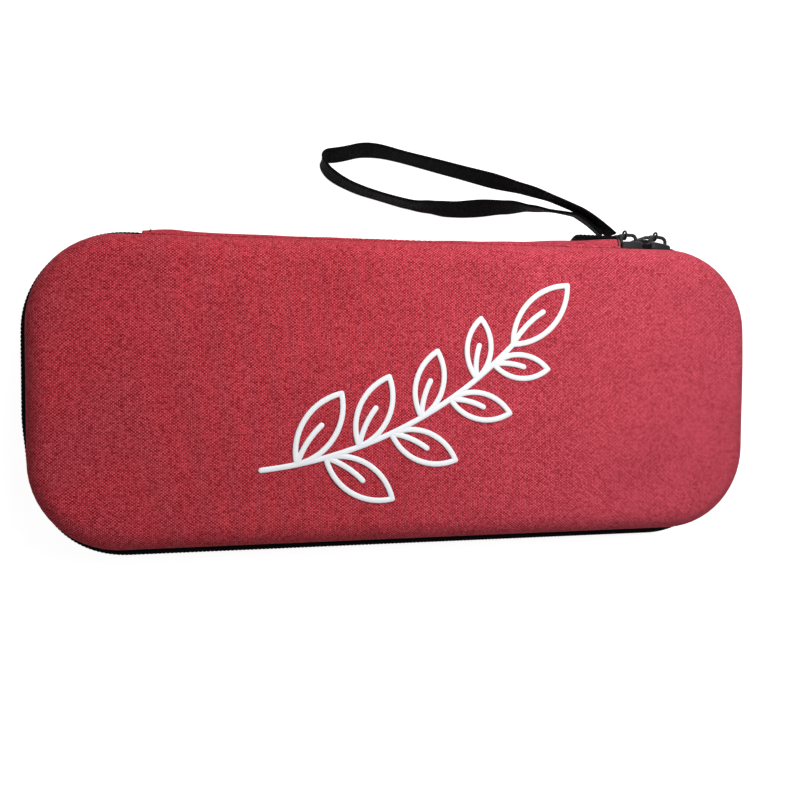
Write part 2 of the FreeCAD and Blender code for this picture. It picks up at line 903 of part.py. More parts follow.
write("elastic_band_left", elastic_band(band_middles[0]))
write("elastic_band_right", elastic_band(band_middles[1]))
write("elastic_band_tacks", elastic_tacks())

write("mesh_pocket_net", pocket_net())
write("mesh_pocket_border", pocket_border())
write("mesh_pocket_hem", pocket_hem())
write("lid_print", lid_print())
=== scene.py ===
"""A zipped stethoscope case in red cloth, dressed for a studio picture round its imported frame."""

import math
from collections import namedtuple

import bmesh
import bpy
from mathutils import Matrix, Vector, noise


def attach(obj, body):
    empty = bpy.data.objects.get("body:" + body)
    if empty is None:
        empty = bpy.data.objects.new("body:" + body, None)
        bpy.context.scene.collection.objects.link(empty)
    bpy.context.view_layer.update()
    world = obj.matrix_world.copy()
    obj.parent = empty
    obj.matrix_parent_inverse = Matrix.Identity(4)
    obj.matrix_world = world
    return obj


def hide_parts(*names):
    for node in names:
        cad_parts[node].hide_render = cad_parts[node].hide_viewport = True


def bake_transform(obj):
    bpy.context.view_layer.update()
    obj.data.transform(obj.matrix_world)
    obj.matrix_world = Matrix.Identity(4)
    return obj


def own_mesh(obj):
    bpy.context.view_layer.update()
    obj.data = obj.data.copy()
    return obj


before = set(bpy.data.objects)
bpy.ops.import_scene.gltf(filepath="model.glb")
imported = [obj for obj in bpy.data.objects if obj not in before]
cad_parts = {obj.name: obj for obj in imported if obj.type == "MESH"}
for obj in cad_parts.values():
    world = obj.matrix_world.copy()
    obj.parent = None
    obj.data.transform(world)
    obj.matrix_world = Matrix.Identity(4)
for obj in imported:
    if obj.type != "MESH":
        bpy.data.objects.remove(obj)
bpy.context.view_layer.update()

MM = 0.001  # metres in a millimetre; every place below is in millimetres until it becomes a mesh

# The case's own sizes, as the frame has them.
HALF_LENGTH = 150.0
HALF_WIDTH = 62.5
CORNER = 37.0
CORNER_X = HALF_LENGTH - CORNER
CORNER_Y = HALF_WIDTH - CORNER
RIM = 22.5
PART = 28.5
EDGE = 10.0
LEAN = math.atan2(3.0, RIM)
CLOTH = 0.9
INSIDE = 5.5
LINING_THICK = 0.6
TAPE = 0.8
BINDING = 0.9
STRIP_LEFT = -106.5
STRIP_RIGHT = 99.0
CROWN = 0.9  # how far the lid's middle stands up between its edges
CROWN_START, CROWN_REACH = 8.0, 50.0  # how far inside the outline it begins to rise, and over how much
LID_INSET = 0.5  # how much tighter the cloth is drawn over the lid than over the base
RIGHT_SWELL, LEFT_SWELL = 1.05, 0.4  # how far out the lid's cloth swells at its ends

# Slider B sits a little way round the back right corner.
SLIDER_A_X = 105.0
SLIDER_B_ANGLE = math.degrees(6.0 / 38.2)
HELD_ANGLE = SLIDER_B_ANGLE + 7.13  # where the lid's coil leaves slider B
FREE_ANGLE = 26.81  # where the lid's tape is sewn down again


def wall_out(depth, up):
    """How far out the base's wall is at a height, that deep inside its outer face."""
    return -depth / math.cos(LEAN) - (RIM - up) * math.tan(LEAN)


def smooth(share):
    """A share from 0 to 1, eased at both ends."""
    share = min(1.0, max(0.0, share))
    return share * share * (3 - 2 * share)


def inside(x, y):
    """How far inside the case's outline a place is, seen from above."""
    over_x, over_y = abs(x) - CORNER_X, abs(y) - CORNER_Y
    if over_x > 0 and over_y > 0:
        return CORNER - math.hypot(over_x, over_y)
    return CORNER - max(over_x, over_y)


def crown(x, y):
    """How far the lid's cloth stands above its edges."""
    return CROWN * smooth((inside(x, y) - CROWN_START) / CROWN_REACH)


def fullness(x, y):
    """How far out the lid's cloth swells past an even moulding, most behind the middle of its right end."""
    right = math.exp(-(((y - 15) / 30) ** 2)) * smooth((x - 115) / 30)
    left = smooth((-x - 105) / 30)
    return RIGHT_SWELL * right + LEFT_SWELL * left


# The track is the line that the walls and the zipper follow. Each stretch runs beside a corner's axis, or from
# one axis to the next, between two outward angles.
Station = namedtuple("Station", "axis outward along")
BACK_RIGHT = (CORNER_X, CORNER_Y)
FRONT_RIGHT = (CORNER_X, -CORNER_Y)
FRONT_LEFT = (-CORNER_X, -CORNER_Y)
BACK_LEFT = (-CORNER_X, CORNER_Y)
RIGHT_CORNER = (BACK_RIGHT, BACK_RIGHT, 90, 0)
SIDES = [
    (BACK_RIGHT, FRONT_RIGHT, 0, 0),
    (FRONT_RIGHT, FRONT_RIGHT, 0, -90),
    (FRONT_RIGHT, FRONT_LEFT, -90, -90),
    (FRONT_LEFT, FRONT_LEFT, -90, -180),
    (FRONT_LEFT, BACK_LEFT, -180, -180),
    (BACK_LEFT, BACK_LEFT, -180, -270),
]
ALL_ROUND = [RIGHT_CORNER] + SIDES + [(BACK_LEFT, BACK_RIGHT, -270, -270)]
RIGHT_RUN = ((STRIP_RIGHT + 0.3, CORNER_Y), BACK_RIGHT, 90, 90)
LEFT_RUN = (BACK_LEFT, (STRIP_LEFT - 0.3, CORNER_Y), -270, -270)
HINGE_RUN = ((STRIP_LEFT, CORNER_Y), (STRIP_RIGHT, CORNER_Y), 90, 90)
ZIPPER = [RIGHT_RUN, RIGHT_CORNER] + SIDES + [LEFT_RUN]
HELD_END = [RIGHT_RUN, (BACK_RIGHT, BACK_RIGHT, 90, 90 - HELD_ANGLE)]
LOOSE_END = [(BACK_RIGHT, BACK_RIGHT, 90 - HELD_ANGLE, 90 - FREE_ANGLE)]
LID_ZIPPER = [(BACK_RIGHT, BACK_RIGHT, 90 - FREE_ANGLE, 0)] + SIDES + [LEFT_RUN]


def run_length(stretch, out):
    """How long a stretch is, that far out from the walls."""
    first, last, start, end = stretch
    return math.dist(first, last) + abs(math.radians(start - end)) * (CORNER + out)


def station_at(stretch, share, along):
    """The station at a share of a stretch, with how far along the track it counts as being."""
    first, last, start, end = stretch
    angle = math.radians(start + (end - start) * share)
    axis = [a + (b - a) * share for a, b in zip(first, last)]
    return Station(Vector(axis + [0]), Vector((math.cos(angle), math.sin(angle), 0)), along)


def stations(stretches, step, corner_step=None, closed=False):
    """Stations along stretches, about a step apart, with one at the start of each stretch."""
    found, along = [], 0.0
    for number, stretch in enumerate(stretches):
        length = run_length(stretch, 0)
        turning = stretch[2] != stretch[3]
        count = max(1, math.ceil(length / (corner_step if turning and corner_step else step) - 1e-6))
        last = number == len(stretches) - 1 and not closed
        found += [station_at(stretch, i / count, along + length * i / count) for i in range(count + last)]
        along += length
    return found


def stations_every(stretches, spacing, out, shift=0.0):
    """Stations a fixed distance apart along the line that far out from the walls."""
    found, along, due = [], 0.0, shift
    for stretch in stretches:
        length = run_length(stretch, out)
        while due <= along + length:
            found.append(station_at(stretch, (due - along) / length, due))
            due += spacing
        along += length
    return found


def place_on(station, out, up):
    """The place at a station, that far out from the walls and up from the table."""
    return station.axis + station.outward * (CORNER + out) + Vector((0, 0, up))


STITCH_BEND = 0.12  # the share of a stitch over which it dips under
STITCH_HEIGHTS = (-0.7, 0.45, 0.75, 0.45, -0.7)  # in thread radii, along a stitch


class Heap:
    """The places, faces and weave coordinates of one piece, gathered part by part."""

    def __init__(self):
        self.places, self.faces, self.weave = [], [], []

    def add(self, places, faces, weave=None):
        first = len(self.places)
        self.places += [tuple(p) for p in places]
        self.faces += [[first + i for i in face] for face in faces]
        self.weave += weave or [(p[0], p[1]) for p in places]

    def grid(self, rows, weave, closed=False):
        """Rows of places side by side, with a face between each four."""
        wide = len(rows[0])
        places = [p for row in rows + rows[:1] * closed for p in row]
        coords = [c for row in weave for c in row]
        if closed:
            step = weave[1][0][0] - weave[0][0][0]
            coords += [(weave[-1][i][0] + step, weave[-1][i][1]) for i in range(wide)]
        high = len(places) // wide
        faces = [
            (r * wide + c, r * wide + c + 1, (r + 1) * wide + c + 1, (r + 1) * wide + c)
            for r in range(high - 1)
            for c in range(wide - 1)
        ]
        self.add(places, faces, coords)

    def ends(self, rows, weave=None):
        """Closes rows of rings at the first and the last, each of which ends where it began."""
        for i in (0, -1):
            wide = len(rows[i]) - 1
            self.add(rows[i][:wide], [list(range(wide))], weave[i][:wide] if weave else None)

    def sweep(self, track, section, closed=False):
        """A closed section, given by section(station) as (out, up) places, carried along the track."""
        rows, weave = [], []
        for station in track:
            places = section(station)
            places = places + places[:1]
            reach = [0.0]
            for a, b in zip(places, places[1:]):
                reach.append(reach[-1] + math.dist(a, b))
            rows.append([place_on(station, out, up) for out, up in places])
            weave.append([(station.along, r) for r in reach])
        self.grid(rows, weave, closed)
        if not closed:
            self.ends(rows, weave)

    def tube(self, line, radius, sides=6, radii=None):
        """A round wire along a line, with its radius times a share at each place where radii are given."""
        line = [Vector(p) for p in line]
        rows, weave, reach, normal = [], [], 0.0, None
        for i, place in enumerate(line):
            way = (line[min(i + 1, len(line) - 1)] - line[max(i - 1, 0)]).normalized()
            if normal is None:
                normal = way.orthogonal().normalized()
            normal = (normal - way * normal.dot(way)).normalized()
            across = way.cross(normal)
            wide = radius * (radii[i] if radii else 1)
            if i:
                reach += (place - line[i - 1]).length
            ring, coords = [], []
            for k in range(sides + 1):
                angle = math.tau * k / sides
                ring.append(place + (normal * math.cos(angle) + across * math.sin(angle)) * wide)
                coords.append((reach, radius * angle))
            rows.append(ring)
            weave.append(coords)
        self.grid(rows, weave)
        self.ends(rows, weave)

    def stitches(self, line, normals, radius, gap=0.25):
        """Stitches of thread between the places of a line, each sunk at its two ends."""
        shares = (gap / 2, gap / 2 + STITCH_BEND, 0.5, 1 - gap / 2 - STITCH_BEND, 1 - gap / 2)
        for a, b, up in zip(line, line[1:], normals):
            a, b, up = Vector(a), Vector(b), Vector(up)
            way = b - a
            self.tube([a + way * s + up * radius * h for s, h in zip(shares, STITCH_HEIGHTS)], radius)


def new_object(name, data):
    made = bpy.data.objects.new(name, data)
    bpy.context.scene.collection.objects.link(made)
    return made


def mesh_of(curve):
    """The mesh of a curve, which isn't kept."""
    holder = new_object(curve.name, curve)
    bpy.context.view_layer.update()
    mesh = bpy.data.meshes.new_from_object(holder.evaluated_get(bpy.context.evaluated_depsgraph_get()))
    bpy.data.objects.remove(holder)
    bpy.data.curves.remove(curve)
    return mesh


def dress(name, heap, finish, sharp=40.0):
    """One mesh piece from a heap, in its finish, not yet on a body."""
    mesh = bpy.data.meshes.new(name)
    mesh.from_pydata([[c * MM for c in p] for p in heap.places], [], heap.faces)
    layer = mesh.uv_layers.new(name="weave")
    coords = []
    for loop in mesh.loops:
        coords += heap.weave[loop.vertex_index]
    layer.data.foreach_set("uv", coords)
    shape = bmesh.new()
    shape.from_mesh(mesh)
    bmesh.ops.remove_doubles(shape, verts=shape.verts, dist=2e-6)
    bmesh.ops.dissolve_degenerate(shape, edges=shape.edges, dist=1e-7)
    bmesh.ops.recalc_face_normals(shape, faces=shape.faces)
    shape.to_mesh(mesh)
    shape.free()
    mesh.polygons.foreach_set("use_smooth", [True] * len(mesh.polygons))
    mesh.set_sharp_from_angle(angle=math.radians(sharp))
    mesh.materials.append(finish)
    made = new_object(name, mesh)
    return made


def fit(name, heap, finish, body, node=None, sharp=40.0):
    """A dressed piece on its body, in the place of the frame's node where it has one."""
    made = dress(name, heap, finish, sharp)
    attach(made, body)
    if node:
        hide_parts(node)
    return made


def moved(heap, change):
    """A copy of a heap with each place changed."""
    copy = Heap()
    copy.places = [tuple(change(p)) for p in heap.places]
    copy.faces, copy.weave = heap.faces, heap.weave
    return copy


def flipped(heap):
    """The lid's copy of a heap made for the base: the same moulding turned over above the zipper."""
    return moved(heap, lambda p: (p[0], p[1], 2 * PART - p[2]))


# Finishes.
class Graph:
    """One tree of shader nodes, in which each node is added with its values and links in one call."""

    def __init__(self, tree):
        self.tree = tree

    def node(self, kind, sockets=(), **settings):
        made = self.tree.nodes.new(kind if kind.startswith("NodeGroup") else "ShaderNode" + kind)
        for name, value in settings.items():
            setattr(made, name, value)
        for key, value in dict(sockets).items():
            self.feed(made.inputs[key], value)
        return made

    def feed(self, socket, value):
        if isinstance(value, bpy.types.NodeSocket):
            self.tree.links.new(value, socket)
        else:
            socket.default_value = value

    def math(self, operation, first, second=0.0, clamp=False):
        return self.node("Math", {0: first, 1: second}, operation=operation, use_clamp=clamp).outputs[0]

    def mix(self, share, first, second, kind="MIX"):
        made = self.node("Mix", {0: share, 6: first, 7: second}, data_type="RGBA", blend_type=kind)
        return made.outputs[2]

    def between(self, share, first, second):
        return self.node("Mix", {0: share, 2: first, 3: second}, data_type="FLOAT").outputs[0]

    def spread(self, value, low, high, to_low=0.0, to_high=1.0):
        sockets = {0: value, 1: low, 2: high, 3: to_low, 4: to_high}
        return self.node("MapRange", sockets, clamp=True).outputs[0]

    def noise(self, place, scale, detail=2.0, roughness=0.5):
        sockets = {"Vector": place, "Scale": scale, "Detail": detail, "Roughness": roughness}
        return self.node("TexNoise", sockets, noise_dimensions="3D").outputs[0]

    def vector(self, x, y=0.0, z=0.0):
        return self.node("CombineXYZ", {0: x, 1: y, 2: z}).outputs[0]

    def group(self, tree, sockets):
        made = self.node("Group", node_tree=tree)
        for key, value in sockets.items():
            self.feed(made.inputs[key], value)
        return made.outputs


def new_group(name, inputs, outputs):
    """An empty shader group with named sockets, as its graph, its inputs, and its output node."""
    tree = bpy.data.node_groups.new(name, "ShaderNodeTree")
    kinds = {"float": "NodeSocketFloat", "vector": "NodeSocketVector", "color": "NodeSocketColor"}
    for label, kind in inputs:
        tree.interface.new_socket(label, in_out="INPUT", socket_type=kinds[kind])
    for label, kind in outputs:
        tree.interface.new_socket(label, in_out="OUTPUT", socket_type=kinds[kind])
    graph = Graph(tree)
    return graph, tree.nodes.new("NodeGroupInput").outputs, tree.nodes.new("NodeGroupOutput").inputs


def woven_group():
    """Threads that pass over and under each other, each thread with slubs of its own shade."""
    graph, given, result = new_group(
        "woven_threads",
        [
            ("Place", "vector"),
            ("Pitch Along", "float"),
            ("Pitch Across", "float"),
            ("Slub Length", "float"),
            ("Fleck", "float"),
            ("Two Tone", "float"),
            ("Painted Gap Shade", "float"),
            ("Deep", "color"),
            ("Bright", "color"),
        ],
        [("Color", "color"), ("Height", "float"), ("Thread", "float")],
    )
    split = graph.node("SeparateXYZ", {0: given["Place"]}).outputs
    along = graph.math("DIVIDE", split[0], given["Pitch Along"])
    across = graph.math("DIVIDE", split[1], given["Pitch Across"])
    wave_along = graph.math("SINE", graph.math("MULTIPLY", along, math.pi))
    wave_across = graph.math("SINE", graph.math("MULTIPLY", across, math.pi))
    warp_over = graph.math("GREATER_THAN", graph.math("MULTIPLY", wave_along, wave_across), 0.0)
    round_along = graph.math("ABSOLUTE", wave_along)
    round_across = graph.math("ABSOLUTE", wave_across)

    def thread_shade(index, distance, offset):
        place = graph.vector(
            graph.math("MULTIPLY", graph.math("FLOOR", index), 7.31),
            graph.math("DIVIDE", distance, given["Slub Length"]),
            offset,
        )
        return graph.spread(graph.noise(place, 1.0, 2.0, 0.6), 0.3, 0.7)

    warp_shade = thread_shade(along, split[1], 2.7)
    weft_shade = thread_shade(across, split[0], 31.4)
    shade = graph.between(warp_over, weft_shade, warp_shade)
    warp_height = graph.math(
        "MULTIPLY", graph.math("SQRT", round_along), graph.spread(round_across, 0.0, 1.0, 0.55, 1.0)
    )
    weft_height = graph.math(
        "MULTIPLY", graph.math("SQRT", round_across), graph.spread(round_along, 0.0, 1.0, 0.55, 1.0)
    )
    height = graph.between(warp_over, weft_height, warp_height)
    side = graph.math("MULTIPLY", graph.math("SUBTRACT", warp_over, 0.5), given["Two Tone"])
    tone = graph.math("ADD", graph.between(given["Fleck"], 0.5, shade), side, clamp=True)
    color = graph.mix(tone, given["Deep"], given["Bright"])
    # Painted shade: the colour is darkened where the threads dip into the gaps between them.
    gap = graph.spread(height, 0.1, 0.75, given["Painted Gap Shade"], 1.0)
    shaded = graph.mix(1.0, color, graph.vector(gap, gap, gap), "MULTIPLY")
    graph.feed(result["Color"], shaded)
    graph.feed(result["Height"], height)
    graph.feed(result["Thread"], shade)
    return graph.tree


def lint_group():
    """A mask of stray fibres and dust, which black cloth always carries a little of."""
    graph, given, result = new_group(
        "lint_and_dust",
        [("Place", "vector"), ("Amount", "float")],
        [("Mask", "float")],
    )
    bent = graph.node("VectorMath", {0: given["Place"], 1: (0.31, 2.7, 1.0)}, operation="MULTIPLY").outputs[0]
    fibres = graph.noise(bent, 0.9, 3.0, 0.7)
    dust = graph.noise(given["Place"], 2.6, 2.0, 0.6)
    level = graph.math("SUBTRACT", 0.78, graph.math("MULTIPLY", given["Amount"], 0.16))
    mask = graph.math(
        "MAXIMUM",
        graph.math("MULTIPLY", graph.math("SUBTRACT", fibres, level), 9.0, clamp=True),
        graph.math("MULTIPLY", graph.math("SUBTRACT", dust, level), 7.0, clamp=True),
    )
    graph.feed(result["Mask"], mask)
    return graph.tree


def wear_group():
    """Where an edge stands proud enough to be rubbed, broken up by small scuffs."""
    graph, given, result = new_group(
        "rubbed_edges",
        [("Place", "vector"), ("Scuff Scale", "float"), ("Amount", "float")],
        [("Mask", "float"), ("Scuffs", "float")],
    )
    sharp = graph.spread(graph.node("NewGeometry").outputs["Pointiness"], 0.53, 0.6)
    scuffs = graph.noise(given["Place"], given["Scuff Scale"], 4.0, 0.65)
    broken = graph.spread(scuffs, 0.42, 0.6)
    graph.feed(result["Mask"], graph.math("MULTIPLY", graph.math("MULTIPLY", sharp, broken), given["Amount"]))
    graph.feed(result["Scuffs"], scuffs)
    return graph.tree


WOVEN, LINT, WEAR = woven_group(), lint_group(), wear_group()


class Finish(Graph):
    """A material, with its shader and the places that its patterns follow."""

    def __init__(self, name, **shader):
        self.material = bpy.data.materials.new(name)
        self.material.use_nodes = True
        super().__init__(self.material.node_tree)
        self.tree.nodes.clear()
        sockets = {key.replace("_", " "): value for key, value in shader.items()}
        self.shader = self.node("BsdfPrincipled", sockets)
        output = self.node("OutputMaterial")
        self.tree.links.new(self.shader.outputs[0], output.inputs[0])

    def weave_place(self):
        return self.node("UVMap", uv_map="weave").outputs[0]

    def solid_place(self):
        """The piece's own coordinates, in millimetres."""
        place = self.node("TexCoord").outputs["Object"]
        return self.node("VectorMath", {0: place, "Scale": 1 / MM}, operation="SCALE").outputs[0]

    def bump(self, height, depth, strength=1.0, under=None):
        """A bump that is that many millimetres deep."""
        sockets = {"Height": height, "Distance": depth * MM, "Strength": strength}
        made = self.node("Bump", sockets)
        if under is not None:
            self.feed(made.inputs["Normal"], under)
        return made.outputs[0]

    def set(self, **sockets):
        for key, value in sockets.items():
            self.feed(self.shader.inputs[key.replace("_", " ")], value)
        return self.material


RED_THREADS = {"Pitch Along": 0.7, "Pitch Across": 0.556, "Slub Length": 1.15}
RIGHT_SHEEN_TINT = (1.17, 1.55, 1.66, 1)  # painted sheen: how much lighter and pinker the cloth's colour is made at the case's right end, where light from that side falls
SHEEN_LEFT, SHEEN_RIGHT = -30.0, 140.0
STREAKS_LEFT, STREAKS_RIGHT = -30.0, 90.0  # where coarse yarns begin to show, and where they show in full
STREAKS_DEPTH = 0.26


def red_linen(name):
    """The crimson cloth of slubbed yarn on the shells and the hinge."""
    made = Finish(
        name, Sheen_Weight=0.03, Sheen_Roughness=0.4, Sheen_Tint=(1.0, 0.6, 0.66, 1), Specular_IOR_Level=0.08
    )
    place = made.weave_place()
    weave = made.group(
        WOVEN,
        {
            "Place": place,
            **RED_THREADS,
            "Fleck": 0.9,
            "Two Tone": 0.5,
            "Painted Gap Shade": 0.4,
            "Deep": (0.24, 0.002, 0.006, 1),
            "Bright": (0.86, 0.1, 0.135, 1),
        },
    )
    patches = made.noise(place, 0.035, 3.0)
    reach = made.node("SeparateXYZ", {0: made.solid_place()}).outputs[0]
    spot = made.node("SeparateXYZ", {0: place}).outputs
    warp = made.math("SINE", made.math("MULTIPLY", spot[0], 3.3))
    weft = made.math("SINE", made.math("MULTIPLY", spot[1], 3.9))
    slubs = made.spread(made.noise(place, 1.3, 2.0), 0.32, 0.68, -0.5, 0.5)
    streaks = made.math("ADD", made.math("MULTIPLY", warp, weft), slubs)
    streaks_depth = made.spread(reach, STREAKS_LEFT, STREAKS_RIGHT, 0.0, STREAKS_DEPTH)
    streaks = made.math("MULTIPLY", streaks, streaks_depth)
    tone = made.math("ADD", made.spread(patches, 0.3, 0.7, 0.93, 1.05), streaks)
    color = made.mix(1.0, weave["Color"], made.vector(tone, tone, tone), "MULTIPLY")
    # Painted light: toward the case's right end the cloth's colour is made lighter and pinker, standing in for
    # the sheen of the light from that side.
    sheen_lit = made.mix(1.0, color, RIGHT_SHEEN_TINT, "MULTIPLY")
    color = made.mix(made.spread(reach, SHEEN_LEFT, SHEEN_RIGHT), color, sheen_lit)
    lint = made.group(LINT, {"Place": place, "Amount": 0.35})["Mask"]
    color = made.mix(made.math("MULTIPLY", lint, 0.35), color, (0.8, 0.5, 0.52, 1))
    fuzz = made.noise(place, 9.0, 2.0)
    relief = made.math("ADD", weave["Height"], made.math("MULTIPLY", fuzz, 0.25))
    return made.set(
        Base_Color=color,
        Roughness=made.spread(weave["Thread"], 0.0, 1.0, 0.92, 0.78),
        Normal=made.bump(relief, 0.13),
    )


def black_woven(name, along, across, slub, deep, bright, depth, roughness=0.8, lint=0.6, fleck=0.7, sheen=0.12):
    """Black tape, binding, elastic or webbing: the same weave at each one's own pitch."""
    made = Finish(name, Sheen_Weight=sheen, Sheen_Roughness=0.4, Specular_IOR_Level=0.05)
    place = made.weave_place()
    weave = made.group(
        WOVEN,
        {
            "Place": place,
            "Pitch Along": along,
            "Pitch Across": across,
            "Slub Length": slub,
            "Fleck": fleck,
            "Two Tone": 0.0,
            "Painted Gap Shade": 0.5,
            "Deep": (*deep, 1),
            "Bright": (*bright, 1),
        },
    )
    fibres = made.group(LINT, {"Place": place, "Amount": lint})["Mask"]
    color = made.mix(made.math("MULTIPLY", fibres, 0.5), weave["Color"], (0.16, 0.16, 0.17, 1))
    return made.set(
        Base_Color=color,
        Roughness=made.spread(weave["Thread"], 0.0, 1.0, roughness + 0.08, roughness - 0.08),
        Normal=made.bump(weave["Height"], depth),
    )


def knitted_lining():
    """The brushed knit inside the shells: fine wales with a soft nap."""
    made = Finish("black_brushed_knit", Sheen_Weight=0.5, Sheen_Roughness=0.35, Specular_IOR_Level=0.2)
    place = made.weave_place()
    split = made.node("SeparateXYZ", {0: place}).outputs
    wales = made.math("ABSOLUTE", made.math("SINE", made.math("MULTIPLY", split[0], math.pi / 0.9)))
    courses = made.math("MULTIPLY", split[1], math.pi / 0.7)
    bent = made.math("ADD", courses, made.math("MULTIPLY", wales, 1.2))
    loops = made.math("ABSOLUTE", made.math("SINE", bent))
    knit = made.math("MULTIPLY", made.math("SQRT", wales), made.spread(loops, 0, 1, 0.5, 1))
    nap = made.noise(place, 0.35, 4.0, 0.65)
    fibres = made.group(LINT, {"Place": place, "Amount": 0.7})["Mask"]
    color = made.mix(nap, (0.012, 0.012, 0.014, 1), (0.045, 0.045, 0.05, 1))
    color = made.mix(made.math("MULTIPLY", fibres, 0.5), color, (0.2, 0.2, 0.21, 1))
    return made.set(
        Base_Color=color,
        Roughness=made.spread(nap, 0.3, 0.7, 0.8, 0.95),
        Normal=made.bump(made.math("ADD", knit, made.math("MULTIPLY", nap, 0.6)), 0.12),
    )


def moulded_foam():
    """Closed-cell foam, with its small cells showing at the cut rims."""
    made = Finish("black_closed_cell_foam", Specular_IOR_Level=0.2)
    place = made.solid_place()
    cells = made.node("TexVoronoi", {"Vector": place, "Scale": 1.4}, feature="F1").outputs["Distance"]
    haze = made.noise(place, 0.2, 3.0)
    return made.set(
        Base_Color=made.mix(haze, (0.012, 0.012, 0.012, 1), (0.04, 0.04, 0.042, 1)),
        Roughness=made.spread(cells, 0.0, 0.8, 0.75, 0.95),
        Normal=made.bump(cells, 0.15),
    )


def nylon_coil():
    """Drawn nylon: satin along the wire, with a faint lay of drawing lines."""
    made = Finish("black_nylon_coil", Specular_IOR_Level=0.03)
    place = made.weave_place()
    stretched = made.node("VectorMath", {0: place, 1: (0.35, 6.0, 1.0)}, operation="MULTIPLY").outputs[0]
    lines = made.noise(stretched, 1.0, 3.0, 0.6)
    haze = made.noise(made.solid_place(), 0.12, 2.0)
    return made.set(
        Base_Color=made.mix(haze, (0.004, 0.004, 0.005, 1), (0.009, 0.009, 0.01, 1)),
        Roughness=made.spread(lines, 0.3, 0.7, 0.6, 0.75),
        Normal=made.bump(lines, 0.02),
    )


def sewing_thread(name, deep, bright):
    """Twisted thread, seen as slanting strands."""
    made = Finish(name, Sheen_Weight=0.02, Specular_IOR_Level=0.05)
    split = made.node("SeparateXYZ", {0: made.weave_place()}).outputs
    turn = made.math("ADD", made.math("MULTIPLY", split[0], 9.0), made.math("MULTIPLY", split[1], 6.0))
    twist = made.math("ABSOLUTE", made.math("SINE", turn))
    return made.set(
        Base_Color=made.mix(twist, (*deep, 1), (*bright, 1)),
        Roughness=made.spread(twist, 0, 1, 0.7, 0.5),
        Normal=made.bump(twist, 0.05),
    )


def painted_slider(name, worn):
    """Black stoved paint on zinc, worn through to grey where hands and cloth rub it."""
    made = Finish(name, Specular_IOR_Level=0.2)
    place = made.solid_place()
    wear = made.group(WEAR, {"Place": place, "Scuff Scale": 1.7, "Amount": worn})
    grain = made.noise(place, 6.0, 3.0, 0.6)
    paint = made.mix(wear["Scuffs"], (0.004, 0.005, 0.006, 1), (0.009, 0.011, 0.012, 1))
    scuffed = made.spread(wear["Scuffs"], 0.35, 0.65, 0.42, 0.56)
    return made.set(
        Base_Color=made.mix(wear["Mask"], paint, (0.2, 0.2, 0.2, 1)),
        Metallic=made.math("MULTIPLY", wear["Mask"], 0.9),
        Roughness=made.math("ADD", scuffed, made.math("MULTIPLY", grain, 0.1)),
        Normal=made.bump(grain, 0.012),
    )


def pull_rubber():
    """The pulls' moulded rubber, with a fine stipple."""
    made = Finish("black_moulded_pull", Specular_IOR_Level=0.4)
    place = made.solid_place()
    stipple = made.node("TexVoronoi", {"Vector": place, "Scale": 3.2}, feature="SMOOTH_F1").outputs["Distance"]
    haze = made.noise(place, 0.5, 3.0)
    return made.set(
        Base_Color=made.mix(haze, (0.012, 0.012, 0.013, 1), (0.032, 0.032, 0.034, 1)),
        Roughness=made.spread(stipple, 0.0, 0.6, 0.5, 0.72),
        Normal=made.bump(stipple, 0.03),
    )


def raised_print():
    """Thick white print: a smooth skin with the cloth's threads showing faintly through."""
    made = Finish("white_raised_print", Specular_IOR_Level=0.3, Subsurface_Weight=0.05, Subsurface_Scale=0.001)
    place = made.solid_place()
    weave = made.group(
        WOVEN,
        {
            "Place": place,
            **RED_THREADS,
            "Fleck": 0.5,
            "Two Tone": 0.2,
            "Painted Gap Shade": 0.8,
            "Deep": (0.87, 0.895, 0.925, 1),
            "Bright": (0.92, 0.935, 0.955, 1),
        },
    )
    cloud = made.noise(place, 0.25, 3.0)
    color = made.mix(made.spread(cloud, 0.3, 0.7, 0.0, 0.6), (0.89, 0.91, 0.94, 1), (0.93, 0.94, 0.96, 1))
    return made.set(
        Base_Color=made.mix(0.25, color, weave["Color"]),
        Roughness=made.spread(cloud, 0.3, 0.7, 0.38, 0.55),
        Normal=made.bump(weave["Height"], 0.03),
    )


RED_LINEN = red_linen("red_slubbed_linen")
RED_STRIP = red_linen("red_hinge_linen")
TAPE_CLOTH = black_woven(
    "black_zipper_tape", 0.42, 0.6, 3.0, (0.003, 0.003, 0.004), (0.01, 0.01, 0.011), 0.12, 0.8, 0.2, 0.7, 0.02
)
BINDING_CLOTH = black_woven(
    "black_ribbed_binding", 0.85, 0.35, 2.0, (0.008, 0.008, 0.009), (0.045, 0.045, 0.048), 0.18
)
ELASTIC_CLOTH = black_woven(
    "black_ribbed_elastic", 0.55, 1.5, 4.0, (0.008, 0.008, 0.009), (0.05, 0.05, 0.053), 0.28
)
WEBBING = black_woven(
    "black_webbing", 1.05, 0.95, 5.0, (0.002, 0.002, 0.0025), (0.006, 0.0065, 0.007), 0.2, 0.75, 0.1, 0.8, 0.0
)
NET_YARN = black_woven("black_net_yarn", 0.3, 0.3, 2.0, (0.008, 0.008, 0.009), (0.04, 0.04, 0.043), 0.05)
LINING = knitted_lining()
FOAM = moulded_foam()
COIL = nylon_coil()
BLACK_THREAD = sewing_thread("black_thread", (0.003, 0.003, 0.004), (0.012, 0.012, 0.013))
RED_THREAD = sewing_thread("red_thread", (0.2, 0.012, 0.02), (0.5, 0.06, 0.08))
SLIDER_PAINT = painted_slider("black_slider_paint", 0.35)
PULL_PAINT = painted_slider("black_pull_paint", 0.5)
PULL_RUBBER = pull_rubber()
PRINT = raised_print()


# The shells. A skin is a ring of the wall and edge all round, and a flat middle that fills it.
FLOOR_STEPS, EDGE_STEPS, WALL_STEPS = 4, 9, 5
LONG_STEPS, SHORT_STEPS, CORNER_STEPS = 40, 9, 14


